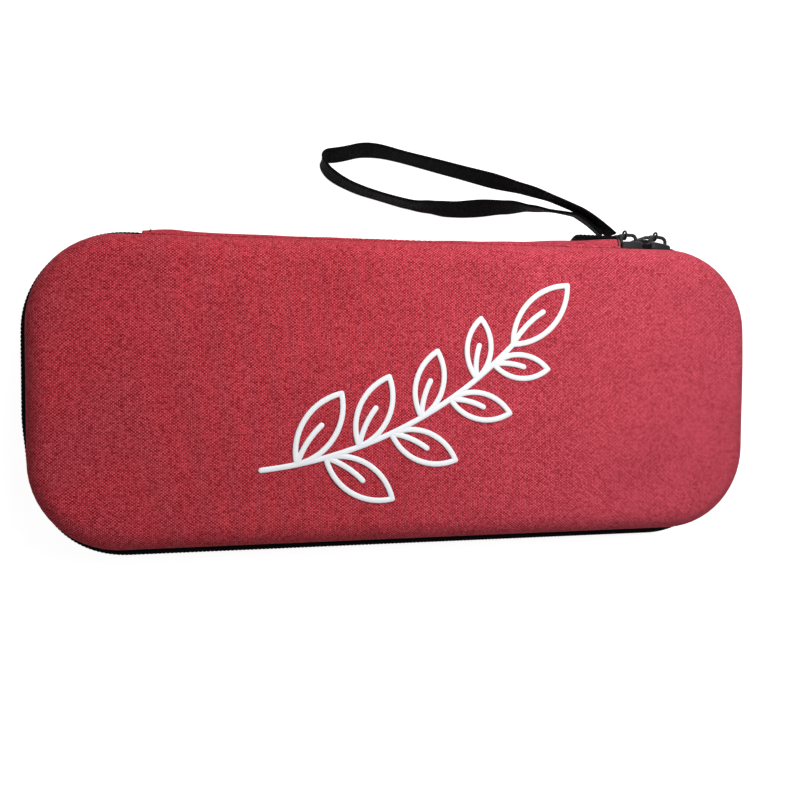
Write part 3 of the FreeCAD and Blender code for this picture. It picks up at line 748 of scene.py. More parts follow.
def skin_line(depth):
    """The base's skin at a depth: out, up, and how far out it would reach if it were laid flat."""
    radius = EDGE - depth
    middle = wall_out(EDGE, EDGE)
    line = [(-CORNER + (middle + CORNER) * i / FLOOR_STEPS, depth) for i in range(FLOOR_STEPS)]
    for i in range(EDGE_STEPS + 1):
        angle = math.pi / 2 + (LEAN - math.pi / 2) * i / EDGE_STEPS
        line.append((middle + radius * math.cos(angle), EDGE - radius * math.sin(angle)))
    foot, rim = line[-1], (wall_out(depth, RIM), RIM)
    line += [
        (foot[0] + (rim[0] - foot[0]) * i / WALL_STEPS, foot[1] + (rim[1] - foot[1]) * i / WALL_STEPS)
        for i in range(1, WALL_STEPS + 1)
    ]
    reach = [0.0]
    for a, b in zip(line, line[1:]):
        reach.append(reach[-1] + math.dist(a, b))
    return [(out, up, far) for (out, up), far in zip(line, reach)]


def loop_stations():
    """Stations all round, which line up with the grid of a skin's flat middle."""
    found = []
    for stretch in ALL_ROUND:
        first, last, start, end = stretch
        if start != end:
            count = CORNER_STEPS
        else:
            count = LONG_STEPS if first[1] == last[1] else SHORT_STEPS
        found += [station_at(stretch, i / count, 0.0) for i in range(count)]
    return found


def skin(heap, depth, lift=None, full=None):
    """Adds the base's skin at a depth, lifted and swollen where the case says, and returns its rim."""
    line = skin_line(depth)
    rows, weave = [], []
    for station in loop_stations():
        row, coords = [], []
        for out, up, far in line:
            place = place_on(station, out, up)
            if lift:
                place.z -= lift(place.x, place.y)
            if full:
                place += station.outward * full(place.x, place.y)
            flat = station.axis + station.outward * far
            row.append(tuple(place))
            coords.append((flat.x, flat.y))
        rows.append(row)
        weave.append(coords)
    rows.append(rows[0])
    weave.append(weave[0])
    heap.grid(rows, weave)
    middle = []
    for j in range(SHORT_STEPS + 1):
        y = -CORNER_Y + 2 * CORNER_Y * j / SHORT_STEPS
        xs = [-CORNER_X + 2 * CORNER_X * i / LONG_STEPS for i in range(LONG_STEPS + 1)]
        middle.append([(x, y, depth - (lift(x, y) if lift else 0)) for x in xs])
    heap.grid(middle, [[(x, y) for x, y, _ in row] for row in middle])
    return [row[-1] for row in rows]


def layer(outer_depth, inner_depth, lift=None, full=None):
    """One layer of the base's shell, closed over its rim."""
    heap = Heap()
    outer = skin(heap, outer_depth, lift, full)
    inner = skin(heap, inner_depth)
    weave = [[(i * 5.0, 0.0), (i * 5.0, inner_depth - outer_depth)] for i in range(len(outer))]
    heap.grid([list(pair) for pair in zip(outer, inner)], weave)
    return heap


def paint(node, finish):
    """Puts a finish on one of the frame's own solids, which stays as it is."""
    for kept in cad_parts[node].material_slots:
        kept.material = finish


lid_layer = flipped(layer(LID_INSET, CLOTH, crown, fullness))
knit = layer(INSIDE - LINING_THICK, INSIDE)
fit("base_cloth", layer(0.0, CLOTH), RED_LINEN, "base", "base_outer_fabric")
fit("lid_cloth", lid_layer, RED_LINEN, "lid", "lid_outer_fabric")
fit("base_knit_lining", knit, LINING, "base", "base_lining")
fit("lid_knit_lining", flipped(knit), LINING, "lid", "lid_lining")
paint("base_foam_shell", FOAM)
paint("lid_foam_shell", FOAM)


# The zipper's tape and binding.
def rounded(corners, radius, steps=2):
    """A closed outline of (out, up) corners with each corner rounded off."""
    places = []
    count = len(corners)
    for i, corner in enumerate(corners):
        here = Vector(corner)
        before = Vector(corners[i - 1]) - here
        after = Vector(corners[(i + 1) % count]) - here
        cut = min(radius, before.length * 0.45, after.length * 0.45)
        start, end = here + before.normalized() * cut, here + after.normalized() * cut
        for k in range(steps + 1):
            s = k / steps
            places.append(tuple(start * (1 - s) ** 2 + here * 2 * s * (1 - s) + end * s * s))
    return places


TAPE_DEPTH = INSIDE + TAPE
TAPE_FOOT = RIM - 7.5
BINDING_DEPTH = TAPE_DEPTH + BINDING
BINDING_FOOT = RIM - 8.5
BINDING_TOP = RIM + 0.25
BINDING_SEAMS = (RIM - 1.6, RIM - 7.2)
STITCH, THREAD = 2.6, 0.2  # a stitch's length and its thread's radius
COIL_GAP = 0.9


def tape_section(_=None):
    """The tape: sewn inside the wall, over the rim, and up to the coil."""
    return rounded(
        [
            (wall_out(INSIDE, RIM), RIM),
            (wall_out(INSIDE, TAPE_FOOT), TAPE_FOOT),
            (wall_out(TAPE_DEPTH, TAPE_FOOT), TAPE_FOOT),
            (wall_out(TAPE_DEPTH, RIM), RIM),
            (wall_out(TAPE_DEPTH, RIM), RIM + TAPE),
            (-TAPE, RIM + TAPE),
            (-TAPE, PART - COIL_GAP / 2),
            (0, PART - COIL_GAP / 2),
            (0, RIM),
        ],
        0.3,
    )


def binding_section(_=None):
    """The binding over the tape's sewn edge."""
    return rounded(
        [
            (wall_out(TAPE_DEPTH, RIM), BINDING_TOP),
            (wall_out(TAPE_DEPTH, BINDING_FOOT), BINDING_FOOT),
            (wall_out(BINDING_DEPTH, BINDING_FOOT), BINDING_FOOT),
            (wall_out(BINDING_DEPTH, RIM), BINDING_TOP),
        ],
        0.42,
        3,
    )


def tape(stretches, step=4.0, corner_step=3.0):
    heap = Heap()
    heap.sweep(stations(stretches, step, corner_step), tape_section)
    return heap


fit("base_tape", tape(ZIPPER), TAPE_CLOTH, "base", "base_zipper_tape")
fit("lid_tape", flipped(tape(LID_ZIPPER)), TAPE_CLOTH, "lid", "lid_zipper_tape")
lid_tape_held = dress("lid_tape_held", flipped(tape(HELD_END, 2.0, 1.0)), TAPE_CLOTH)
lid_tape_loose = dress("lid_tape_loose", flipped(tape(LOOSE_END, 0.7, 0.7)), TAPE_CLOTH)
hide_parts("lid_zipper_tape_end")

trim = Heap()
trim.sweep(stations(ALL_ROUND, 4.0, 3.0, closed=True), binding_section, closed=True)
fit("base_binding", trim, BINDING_CLOTH, "base", "base_rim_binding")
fit("lid_binding", flipped(trim), BINDING_CLOTH, "lid", "lid_rim_binding")


def binding_seam():
    """Two rows of stitches round the inside of a rim."""
    heap = Heap()
    for up in BINDING_SEAMS:
        out = wall_out(BINDING_DEPTH, up)
        track = stations_every(ALL_ROUND, STITCH, out)
        heap.stitches([place_on(s, out, up) for s in track], [-s.outward for s in track], THREAD)
    return heap


seam = binding_seam()
fit("base_binding_stitches", seam, BLACK_THREAD, "base")
fit("lid_binding_stitches", flipped(seam), BLACK_THREAD, "lid")

# The zipper's coil: each half is one long spiral of wire, and the two mesh in the middle.
COIL_PITCH = 1.6
WIRE = 0.37
COIL_THICK = 2.7
COIL_LOW = PART - 3.0
COIL_TOP = PART + 0.55
TURN_STEPS = 10
CORE_IN, CORE_OUT = 0.3, COIL_THICK - 0.12  # the cord that the turns are wound on
CORE_LOW, CORE_TOP = COIL_LOW + 0.2, PART - 0.62
COIL_SEAMS = (COIL_LOW + 0.95, COIL_LOW + 1.7)
COIL_SEAM_OUT = COIL_THICK - 0.08
COIL_SHIFT = COIL_PITCH / 2  # the lid's half turns between the base's turns
PRESSED = 1.7  # how much flatter the coil is pressed at the left corners


def coil_out(station, out):
    """How far out a part of the coil stands: round the case's two left corners it is pressed flatter."""
    y = station.axis.y + CORNER * station.outward.y
    back = smooth((y - 18) / 48)
    front = smooth((-y - 8) / 22) * smooth((y + HALF_WIDTH) / 20)
    left = smooth((-station.axis.x - 60) / 30)
    return out * (1 - (back + front) * PRESSED * left / COIL_THICK)


def coil(stretches, shift=0.0):
    """The base's half of the coil along stretches, and the stitches that hold it on the tape."""
    wire, thread = Heap(), Heap()
    middle_out, middle_up = COIL_THICK / 2, (COIL_LOW + COIL_TOP) / 2
    half_out, half_up = COIL_THICK / 2 - WIRE, (COIL_TOP - COIL_LOW) / 2 - WIRE
    line = []
    for i, station in enumerate(stations_every(stretches, COIL_PITCH / TURN_STEPS, middle_out, shift)):
        turn = math.tau * (i % TURN_STEPS) / TURN_STEPS
        out = middle_out + half_out * math.copysign(abs(math.cos(turn)) ** 0.6, math.cos(turn))
        up = middle_up + half_up * math.copysign(abs(math.sin(turn)) ** 0.7, math.sin(turn))
        line.append(place_on(station, coil_out(station, out), up))
    wire.tube(line, WIRE, 6)

    def core(station):
        near, far = coil_out(station, CORE_IN), coil_out(station, CORE_OUT)
        return rounded([(near, CORE_LOW), (far, CORE_LOW), (far, CORE_TOP), (near, CORE_TOP)], 0.3)

    wire.sweep(stations(stretches, 2.0, 1.0), core)
    for up in COIL_SEAMS:
        track = stations_every(stretches, COIL_PITCH, COIL_THICK, shift)
        line = [place_on(s, coil_out(s, COIL_SEAM_OUT), up) for s in track]
        thread.stitches(line, [s.outward for s in track], 0.17, 0.1)
    return wire, thread


def dress_coil(name, wire, thread):
    """A length of coil and its stitches, as two pieces."""
    return (
        dress(name, wire, COIL, sharp=70),
        dress(name + "_stitches", thread, BLACK_THREAD),
    )


def lid_half(name, stretches):
    return dress_coil(name, *(flipped(heap) for heap in coil(stretches, COIL_SHIFT)))


base_coil = dress_coil("base_coil", *coil(ZIPPER))
lid_coil = lid_half("lid_coil", LID_ZIPPER)
held_coil = lid_half("lid_coil_held", HELD_END)
loose_coil = lid_half("lid_coil_loose", LOOSE_END)
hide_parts("base_zipper_coil")
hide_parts("lid_zipper_coil")
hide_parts("lid_zipper_coil_end")
for part in base_coil:
    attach(part, "base")
for part in lid_coil:
    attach(part, "lid")

# The lid's end of the zipper: the length whose coil stays in the sliders, and past slider B, where the coil
# leaves too, the loose length along the corner. Each keeps its place baked into its mesh.
for part in (lid_tape_held, *held_coil):
    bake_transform(part)
for part in (lid_tape_loose, *loose_coil):
    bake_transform(part)


# The hinge: a strip of the red cloth outside and a black one behind it.
STRIP_REACH = 8.0  # from the strip's middle to each of its edges
STRIP_STEPS = 16
STRIP_THICK = 0.85
STRIP_BOW = 1.5
SEAM_LOW = wall_out(0.0, PART - STRIP_REACH) + STRIP_THICK
SEAM_HIGH = wall_out(LID_INSET, PART - STRIP_REACH) + STRIP_THICK + 0.2
STRIP_SEAM = 6.9  # from the strip's middle to each row of its stitches
PUCKER_SEAM, PUCKER_REACH = 6.5, 3.0
BACKING_THICK = 0.7
BACKING_SHORT = 1.6  # how much less than the strip the cloth behind it bows
BACKING_STEPS = 6


def strip_bow(x):
    """How far out the strip stands half-way up: slack by the sliders, and drawn flatter along the middle."""
    left = math.exp(-(((x - STRIP_LEFT - 6.5) / 16) ** 2))
    right = math.exp(-(((x - STRIP_RIGHT) / 42) ** 2))
    sewn = 1 - smooth((x - STRIP_LEFT) / 14)
    return STRIP_BOW + 2.0 * left + 3.0 * right - sewn


def crease(x, up):
    """Small puckers along the strip's two seams and a slower slack between, at a height over the middle."""
    near = smooth(1 - min(abs(abs(up) - PUCKER_SEAM) / PUCKER_REACH, 1))
    wave = noise.noise(Vector((x / 5.0, (PART + up) / 9.0, 3.1))) * 0.35
    slack = noise.noise(Vector((x / 16.0, (PART + up) / 6.0, 8.4))) * 0.45
    return wave * near + slack * (1 - near)


def strip_out(x, up):
    """How far out the strip's face stands at a height over its middle: against a wall at each seam."""
    seam = SEAM_LOW if up < 0 else SEAM_HIGH
    flat = seam + (strip_bow(x) - seam) * (1 - (up / STRIP_REACH) ** 2)
    return flat + crease(x, up) * (1 - (up / STRIP_REACH) ** 8)


def strip_side(x, thick):
    """The strip's face that far in from its outer one, from the base's seam up to the lid's."""
    ups = [-STRIP_REACH + 2 * STRIP_REACH * i / STRIP_STEPS for i in range(STRIP_STEPS + 1)]
    return [(strip_out(x, up) - thick, PART + up) for up in ups]


def strip_end(x, up):
    """How far the strip's edge stands short of its end: the upper right corner is cut back and round."""
    rise = (up - PART) / STRIP_REACH
    cut = 1.8 * smooth(rise) + 0.7 * smooth((rise - 0.75) / 0.25) - 0.6
    return cut * smooth((x - STRIP_RIGHT + 12) / 12)


def hinge_strip():
    """The red strip, with its right end cut."""
    heap = Heap()

    def section(station):
        x = station.axis.x
        return rounded(strip_side(x, 0.0) + strip_side(x, STRIP_THICK)[::-1], 0.3, 1)

    heap.sweep(stations([HINGE_RUN], 1.5), section)
    return moved(heap, lambda p: (p[0] - strip_end(p[0], p[2]), p[1], p[2]))


strip = dress("hinge_cloth", hinge_strip(), RED_STRIP, sharp=60)
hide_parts("hinge_strip")


def strip_face(x, up, lift):
    """A place on the strip's outer face, or lifted off it."""
    return Vector((x - strip_end(x, up), HALF_WIDTH + strip_out(x, up - PART) + lift, up))


def strip_seams():
    """Rows of red stitches along the strip's two edges, and dark ones across it near each end."""
    red, dark = Heap(), Heap()
    back = Vector((0, 1, 0))
    for up in (PART - STRIP_SEAM, PART + STRIP_SEAM):
        line = [strip_face(STRIP_LEFT + 1.2 + 2.5 * i, up, -0.06) for i in range(82)]
        red.stitches(line, [back] * len(line), 0.12)
    for x in (STRIP_LEFT + 3.1, STRIP_RIGHT - 0.9):
        line = [strip_face(x, PART - 7.6 + 1.9 * i, -0.2) for i in range(9)]
        dark.stitches(line, [back] * len(line), 0.34, 0.06)
    return red, dark


red_seams, end_seams = strip_seams()
red_seams = dress("hinge_stitches", red_seams, RED_THREAD)
end_seams = dress("hinge_end_stitches", end_seams, BLACK_THREAD)


def hinge_backing():
    """The black cloth that closes the hinge: sewn in each shell, over its rim, and bowed out between."""
    heap = Heap()
    low, turn = TAPE_FOOT, RIM + BACKING_THICK
    outer_foot = [(wall_out(INSIDE, low), low), (wall_out(INSIDE, RIM), RIM), (-0.25, RIM)]
    inner_foot = [(wall_out(TAPE_DEPTH, low), low), (wall_out(TAPE_DEPTH, RIM), turn), (-BACKING_THICK, turn)]

    def side(foot, bow, thick):
        middle = []
        for k in range(1, BACKING_STEPS):
            share = k / BACKING_STEPS
            out = max(bow * math.sin(math.pi * share), -0.2) - thick
            middle.append((out, turn + 2 * (PART - turn) * share))
        return foot + middle + [(out, 2 * PART - up) for out, up in reversed(foot)]

    def section(station):
        bow = strip_bow(station.axis.x) - BACKING_SHORT
        return side(outer_foot, bow, 0.0) + side(inner_foot, bow, BACKING_THICK)[::-1]

    heap.sweep(stations([HINGE_RUN], 3.0), section)
    return heap


backing = dress("hinge_backing", hinge_backing(), LINING, sharp=60)
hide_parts("hinge_lining")
for part in (strip, red_seams, end_seams, backing):
    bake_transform(part)


# The sliders, in their own frame: x along the track, then out from the walls, then up from the zipper's middle.
def to_a(place):
    """A place of slider A's frame on the case."""
    return (SLIDER_A_X + place[0], HALF_WIDTH + place[1], PART + place[2])


def to_b(place):
    """A place of slider B's frame on the case."""
    angle = math.radians(SLIDER_B_ANGLE)
    x, y = place[0], CORNER + place[1]
    return (
        CORNER_X + x * math.cos(angle) + y * math.sin(angle),
        CORNER_Y - x * math.sin(angle) + y * math.cos(angle),
        PART + place[2],
    )


SLIDER_HALF = 4.75
PLATE_TOP = 3.7
BAIL_TOP = 6.9
BODY_STOPS = (0.0, 0.05, 0.14, 0.3, 0.5, 0.7, 0.86, 0.95, 1.0)  # shares of a slider's length, one to a section
LOWER_PLATE_END = [(3.6, 3.9), (4.6, 2.4), (4.6, -2.4), (3.6, -3.9)]
LOWER_PLATE = [(-x, -up) for x, up in LOWER_PLATE_END] + LOWER_PLATE_END
LOWER_PLATE_LAYERS = ((-2.2, 0.88), (-2.05, 1.0), (-1.2, 1.0), (-1.08, 0.94))  # out, and the share of its size
WEB = [(1.5, -0.25), (2.0, 0.25), (3.5, 0.25), (4.0, 0.0), (3.5, -0.25), (2.0, -0.25)]
WEB_REACH = (-1.3, 2.8)


def slider_width(x, nose):
    """Half a slider's width: broad at the nose, where the tapes part, and drawn in at the tail."""
    share = (x * nose + SLIDER_HALF) / (2 * SLIDER_HALF)
    return 3.9 + 0.6 * smooth(share * 1.6)


def slider_body(nose):
    """The top plate with its two bent-down flanges, the bottom plate, and the web that joins them."""
    heap = Heap()
    rows, weave = [], []
    for share in BODY_STOPS:
        x = -SLIDER_HALF + 2 * SLIDER_HALF * share
        tuck = 0.55 * (1 - math.sqrt(max(0.0, 1 - (2 * abs(share - 0.5)) ** 6)))
        half = slider_width(x, nose) - tuck
        top = PLATE_TOP - 0.6 * tuck
        outline = [
            (0.0, top + 0.12),
            (half * 0.5, top + 0.06),
            (half - 0.9, top - 0.1),
            (half - 0.25, top - 0.5),
            (half, top - 1.25),
            (half, 1.4),
            (half - 0.08, 0.42),
            (half - 0.5, 0.3),
            (3.32, 0.42),
            (3.36, 1.6),
            (3.2, 2.45),
            (2.6, 2.68),
            (0.0, 2.68),
        ]
        outline = [(min(z, half - 0.3) if n < 2.7 and i > 7 else z, n) for i, (z, n) in enumerate(outline)]
        ring = outline + [(-z, n) for z, n in reversed(outline[1:-1])]
        rows.append([(x, n, z) for z, n in ring + ring[:1]])
        weave.append([(x, i) for i in range(len(ring) + 1)])
    heap.grid(rows, weave)
    heap.ends(rows)
    rows = [[(x * k, n, z * k) for x, z in LOWER_PLATE + LOWER_PLATE[:1]] for n, k in LOWER_PLATE_LAYERS]
    heap.grid(rows, [[(p[0], p[2]) for p in row] for row in rows])
    heap.ends(rows)
    rows = [[(x * nose, n, z) for x, z in WEB + WEB[:1]] for n in WEB_REACH]
    heap.grid(rows, [[(p[0], p[2]) for p in row] for row in rows])
    return heap


def arc(centre, radius, start, end, steps):
    """Places along an arc between two angles in degrees."""
    angles = [math.radians(start + (end - start) * i / steps) for i in range(steps + 1)]
    return [(centre[0] + radius * math.cos(a), centre[1] + radius * math.sin(a)) for a in angles]


def slider_bail():
    """The arch that the pull's ring runs on, with spread feet."""
    heap = Heap()
    side = arc((1.5, BAIL_TOP - 2.0), 2.0, 90, 0, 6)
    line = side + [(3.52, 4.3), (3.56, 3.7), (3.6, 3.1)]
    line = [(-x, n) for x, n in reversed(line)] + line
    swell = [1.55, 1.2, 1.05] + [1.0] * (len(line) - 6) + [1.05, 1.2, 1.55]
    heap.tube([(x, n, 0) for x, n in line], 0.8, 10, radii=swell)
    return heap


def slider(name, nose, change, body, node):
    """A slider's shell and its bail, with the shell's edges a little soft, as cast ones are."""
    shell = moved(slider_body(nose), change)
    made = fit(name, shell, SLIDER_PAINT, body, node, sharp=50)
    soften = made.modifiers.new("cast_edges", "BEVEL")
    soften.width = 0.16 * MM
    soften.segments = 2
    soften.angle_limit = math.radians(35)
    fit(name + "_bail", moved(slider_bail(), change), SLIDER_PAINT, body, sharp=60)


slider("slider_a_shell", 1, to_a, "slider_a", "slider_a_body")
slider("slider_b_shell", -1, to_b, "slider_b", "slider_b_body")
paint("pull_a_ring", PULL_PAINT)
paint("pull_b_ring", PULL_PAINT)

PULL_SHIFT = -1.7  # each pull hangs at the left end of its bail's bar
EYE_UP, EYE = -2.6, 1.0
TAB_TOP = EYE_UP + 1.6
TAB_FOOT = TAB_TOP - 20.5
NECK, TAB_HALF = 1.7, 2.6
NECK_FOOT = EYE_UP - 1.6
SHOULDER = NECK_FOOT - (TAB_HALF - NECK)
SLOT_LOW, SLOT_HIGH, SLOT_HALF = TAB_FOOT + 3.1, TAB_FOOT + 7.4, 1.1
RIBS, RIB_PITCH, RIB_HALF, RIB = 4, 1.15, 1.8, 0.26


def pull_tab(name, change, body, node):
    """The moulded tab: a neck with the eye, grip ribs under it, and a slot near the foot."""
    outline = arc((0, TAB_TOP - NECK), NECK, 0, 180, 10)
    outline += [(-NECK, NECK_FOOT), (-TAB_HALF, SHOULDER)]
    outline += arc((0, TAB_FOOT + TAB_HALF), TAB_HALF, 180, 360, 14)
    outline += [(TAB_HALF, SHOULDER), (NECK, NECK_FOOT)]
    eye = arc((0, EYE_UP), EYE, 0, 345, 15)
    slot = arc((0, SLOT_HIGH), SLOT_HALF, 0, 180, 8) + arc((0, SLOT_LOW), SLOT_HALF, 180, 360, 8)
    curve = bpy.data.curves.new(name, "CURVE")
    curve.dimensions, curve.fill_mode = "2D", "BOTH"
    for ring in (outline, eye, slot):
        spline = curve.splines.new("POLY")
        spline.points.add(len(ring) - 1)
        for point, (x, z) in zip(spline.points, ring):
            point.co = (x, z, 0, 1)
        spline.use_cyclic_u = True
    curve.extrude, curve.bevel_depth, curve.bevel_resolution, curve.offset = 0.5, 0.3, 2, -0.3
    flat = mesh_of(curve)
    heap = Heap()
    places = [(v.co.x, BAIL_TOP + v.co.z, v.co.y) for v in flat.vertices]
    heap.add(places, [tuple(p.vertices) for p in flat.polygons])
    bpy.data.meshes.remove(flat)
    for side in (-1, 1):
        for i in range(RIBS):
            up = SHOULDER - 1.2 - RIB_PITCH * i
            places = ((-RIB_HALF, 0.78), (0, 0.84), (RIB_HALF, 0.78))
            heap.tube([(x, BAIL_TOP + side * out, up) for x, out in places], RIB)
    hung = moved(heap, lambda p: change((p[0] + PULL_SHIFT, p[1], p[2])))
    fit(name, hung, PULL_RUBBER, body, node, sharp=35)


pull_tab("pull_a_grip", to_a, "pull_a", "pull_a_tab")
pull_tab("pull_b_grip", to_b, "pull_b", "pull_b_tab")

# The wrist strap. Its route is the frame's, in metres, and its leans are in degrees, in even steps along it.
STRAP_WIDTH, STRAP_THICK = 10.0, 1.3
STRAP_ROUTE = [
    (0.0993, 0.0702, 0.0230),
    (0.0880, 0.0792, 0.0230),
    (0.0780, 0.0840, 0.0205),
    (0.0666, 0.0894, 0.0165),
    (0.0507, 0.0942, 0.0115),
    (0.0343, 0.0987, 0.0080),
    (0.0096, 0.1045, 0.0060),
    (-0.0102, 0.1088, 0.0051),
    (-0.0234, 0.1049, 0.0051),
    (-0.0317, 0.1042, 0.0052),
    (-0.0291, 0.0970, 0.0052),
    (-0.0176, 0.0907, 0.0052),
    (-0.0031, 0.0868, 0.0052),
    (0.0098, 0.0838, 0.0053),
    (0.0196, 0.0834, 0.0052),
    (0.0290, 0.0824, 0.0052),
    (0.0446, 0.0839, 0.0055),
    (0.0590, 0.0845, 0.0070),
    (0.0691, 0.0835, 0.0100),
    (0.0790, 0.0812, 0.0150),
    (0.0865, 0.0788, 0.0195),
    (0.0945, 0.0698, 0.0225),
]
STRAP_LEANS = [0, -3, -2, 10, 26, 21, 16, 26, 27, 22, 17, 11, 8, 11, 22, 34, 44, 27, 2, -12, -10, -20]


def strap_line():
    """Places along the strap's smooth line, in metres."""
    curve = bpy.data.curves.new("strap_line", "CURVE")
    curve.dimensions = "3D"
    spline = curve.splines.new("NURBS")
    spline.points.add(len(STRAP_ROUTE) - 1)
    for point, place in zip(spline.points, STRAP_ROUTE):
        point.co = (*place, 1)
    spline.order_u = 3
    spline.use_endpoint_u = True
    spline.resolution_u = 10
    line = mesh_of(curve)
    places = []
    for vertex in line.vertices:
        if not places or (vertex.co - places[-1]).length > 0.05 * MM:
            places.append(vertex.co.copy())
    bpy.data.meshes.remove(line)
    return places


strap_path = strap_line()


def lean_along(count):
    """The webbing's lean at each of that many even steps along its line."""
    leans = []
    last = len(STRAP_LEANS) - 1
    for i in range(count):
        at = i / (count - 1) * last
        low = min(int(at), last - 1)
        leans.append(STRAP_LEANS[low] + (STRAP_LEANS[low + 1] - STRAP_LEANS[low]) * smooth(at - low))
    return leans


def webbing_outline():
    """Across the webbing: a flat middle and a thicker woven edge each side."""
    half, thick = STRAP_WIDTH / 2, STRAP_THICK / 2
    edge = [(half - 1.6, 0.86), (half - 0.9, 1.0), (half - 0.35, 0.78)]
    face = [(-w, t) for w, t in reversed(edge)] + [(0, 0.82)] + edge
    front = [(w, t * thick) for w, t in face]
    return [(-half, 0.0)] + front + [(half, 0.0)] + [(w, -t) for w, t in reversed(front)]


def wrist_strap():
    """The webbing along its line, leaning as its route says."""
    heap = Heap()
    outline = webbing_outline()
    rows, weave, reach = [], [], 0.0
    for i, (place, lean) in enumerate(zip(strap_path, lean_along(len(strap_path)))):
        before, after = strap_path[max(i - 1, 0)], strap_path[min(i + 1, len(strap_path) - 1)]
        way = (after - before).normalized()
        lean = math.radians(lean)
        width = Vector((0, math.sin(lean), math.cos(lean)))
        width = (width - way * width.dot(way)).normalized()
        through = way.cross(width)
        middle = place / MM
        reach += (place - before).length / MM
        ring = outline + outline[:1]
        rows.append([middle + width * w + through * t for w, t in ring])
        run, coords = 0.0, []
        for a, b in zip(ring, ring[1:] + ring[-1:]):
            coords.append((reach, run))
            run += math.dist(a, b)
        weave.append(coords)
    heap.grid(rows, weave)
    heap.ends(rows, weave)
    return heap


strap = fit("wrist_strap_webbing", wrist_strap(), WEBBING, "base", "wrist_strap", sharp=60)
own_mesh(strap)


# The tab of webbing on the hinge strip that holds the strap: folded at its lower edge, with its layers sewn.
ANCHOR_LEFT, ANCHOR_RIGHT = STRIP_RIGHT - 19.0, STRIP_RIGHT
ANCHOR_CENTRE = (-11.03, PART)  # out and up, of the arc that the tab lies on
ANCHOR_THICK, ANCHOR_GAP = 1.35, 0.25
ANCHOR_INNER = 14.6
ANCHOR_OUTER = ANCHOR_INNER + 2 * ANCHOR_THICK + ANCHOR_GAP
ANCHOR_TOP, ANCHOR_OPEN, ANCHOR_FOLD = -1.5, -7.0, -34.0  # degrees from level
ANCHOR_THREAD = 0.22


def on_arc(centre, radius, angle):
    """The place on an arc at one angle."""
    return arc(centre, radius, angle, angle, 1)[0]


def anchor_section(_=None):
    """Both layers of the tab and the fold between them."""
    inner, outer = ANCHOR_INNER, ANCHOR_OUTER
    fold = on_arc(ANCHOR_CENTRE, (inner + outer) / 2, ANCHOR_FOLD)
    section = arc(ANCHOR_CENTRE, outer, ANCHOR_TOP, ANCHOR_FOLD, 8)
    section += arc(fold, (outer - inner) / 2, ANCHOR_FOLD, ANCHOR_FOLD - 180, 8)[1:-1]
    section += arc(ANCHOR_CENTRE, inner, ANCHOR_FOLD, ANCHOR_TOP, 8)
    between = ((ANCHOR_THICK, ANCHOR_TOP), (ANCHOR_THICK, ANCHOR_OPEN))
    section += [on_arc(ANCHOR_CENTRE, inner + deep, angle) for deep, angle in between]
    section += [on_arc(ANCHOR_CENTRE, inner + deep + ANCHOR_GAP, angle) for deep, angle in reversed(between)]
    return section


def anchor_tab():
    """The tab along the strip's right end."""
    heap = Heap()
    run = ((ANCHOR_LEFT, CORNER_Y), (ANCHOR_RIGHT, CORNER_Y), 90, 90)
    heap.sweep(stations([run], 1.0), anchor_section)
    return heap


fit("strap_anchor_webbing", anchor_tab(), WEBBING, "base", "strap_anchor_tab", sharp=50)


def anchor_face(x, angle):
    """A place on the tab's outer face."""
    out, up = on_arc(ANCHOR_CENTRE, ANCHOR_OUTER, angle)
    return Vector((x, HALF_WIDTH + out, up))


def anchor_stitches():
    """Two rows of stitches down the tab's left end, and one along each edge from there."""
    heap = Heap()
    back = Vector((0, 1, 0))
    lines = [[anchor_face(ANCHOR_LEFT + x, -3 - 4.9 * i) for i in range(7)] for x in (1.5, 3.0)]
    lines += [[anchor_face(ANCHOR_LEFT + 1.5 + 1.9 * i, angle) for i in range(7)] for angle in (-4, -31)]
    for line in lines:
        heap.stitches(line, [back] * len(line), ANCHOR_THREAD)
    return heap


fit("strap_anchor_stitches", anchor_stitches(), BLACK_THREAD, "base")


# Inside the base: the elastic bands and their tacks.
BAND_WIDTH, BAND_THICK, BAND_RISE, BAND_REACH = 25.0, 1.2, 2.5, 48.74
BAND_SEWN = BAND_REACH - 10.0
BAND_PLACE = 62.0  # from the case's middle to a band's
BAND_STEPS = 60
BAND_EDGE = 0.3  # how much thinner a band is at each edge, above and below
TACK_PLACE, TACK_HALF, TACK_STEP, TACK_WIDE = BAND_REACH - 5.0, 10.0, 0.5, 0.95


def band_up(y):
    """The height of a band's underside across the case."""
    if abs(y) >= BAND_SEWN:
        return INSIDE
    return INSIDE + BAND_RISE * (1 - (y / BAND_SEWN) ** 2)


def elastic_band(name, middle, node):
    """A band across the base, sewn down at its ends and raised a little between them."""
    heap = Heap()
    rows, weave = [], []
    for i in range(BAND_STEPS + 1):
        y = -BAND_REACH + 2 * BAND_REACH * i / BAND_STEPS
        low = band_up(y) + 0.04
        ripple = 0.12 * math.sin(i * 2.1) * smooth((BAND_REACH - abs(y)) / 12)
        half = BAND_WIDTH / 2 - 0.25 * math.cos(math.pi * y / BAND_REACH)
        across = [-half, -half + 0.5, -half / 2, 0, half / 2, half - 0.5, half]
        edges = [BAND_EDGE if abs(x) == half else 0 for x in across]
        top = [(middle + x, y, low + BAND_THICK + ripple * 0.3 - edge) for x, edge in zip(across, edges)]
        bottom = [(middle + x, y, low + edge) for x, edge in zip(across, edges)]
        ring = top + bottom[::-1]
        rows.append(ring + ring[:1])
        weave.append([(y, p[0]) for p in ring + ring[:1]])
    heap.grid(rows, weave)
    heap.ends(rows)
    fit(name, heap, ELASTIC_CLOTH, "base", node, sharp=60)


elastic_band("elastic_strap_left", -BAND_PLACE, "elastic_band_left")
elastic_band("elastic_strap_right", BAND_PLACE, "elastic_band_right")


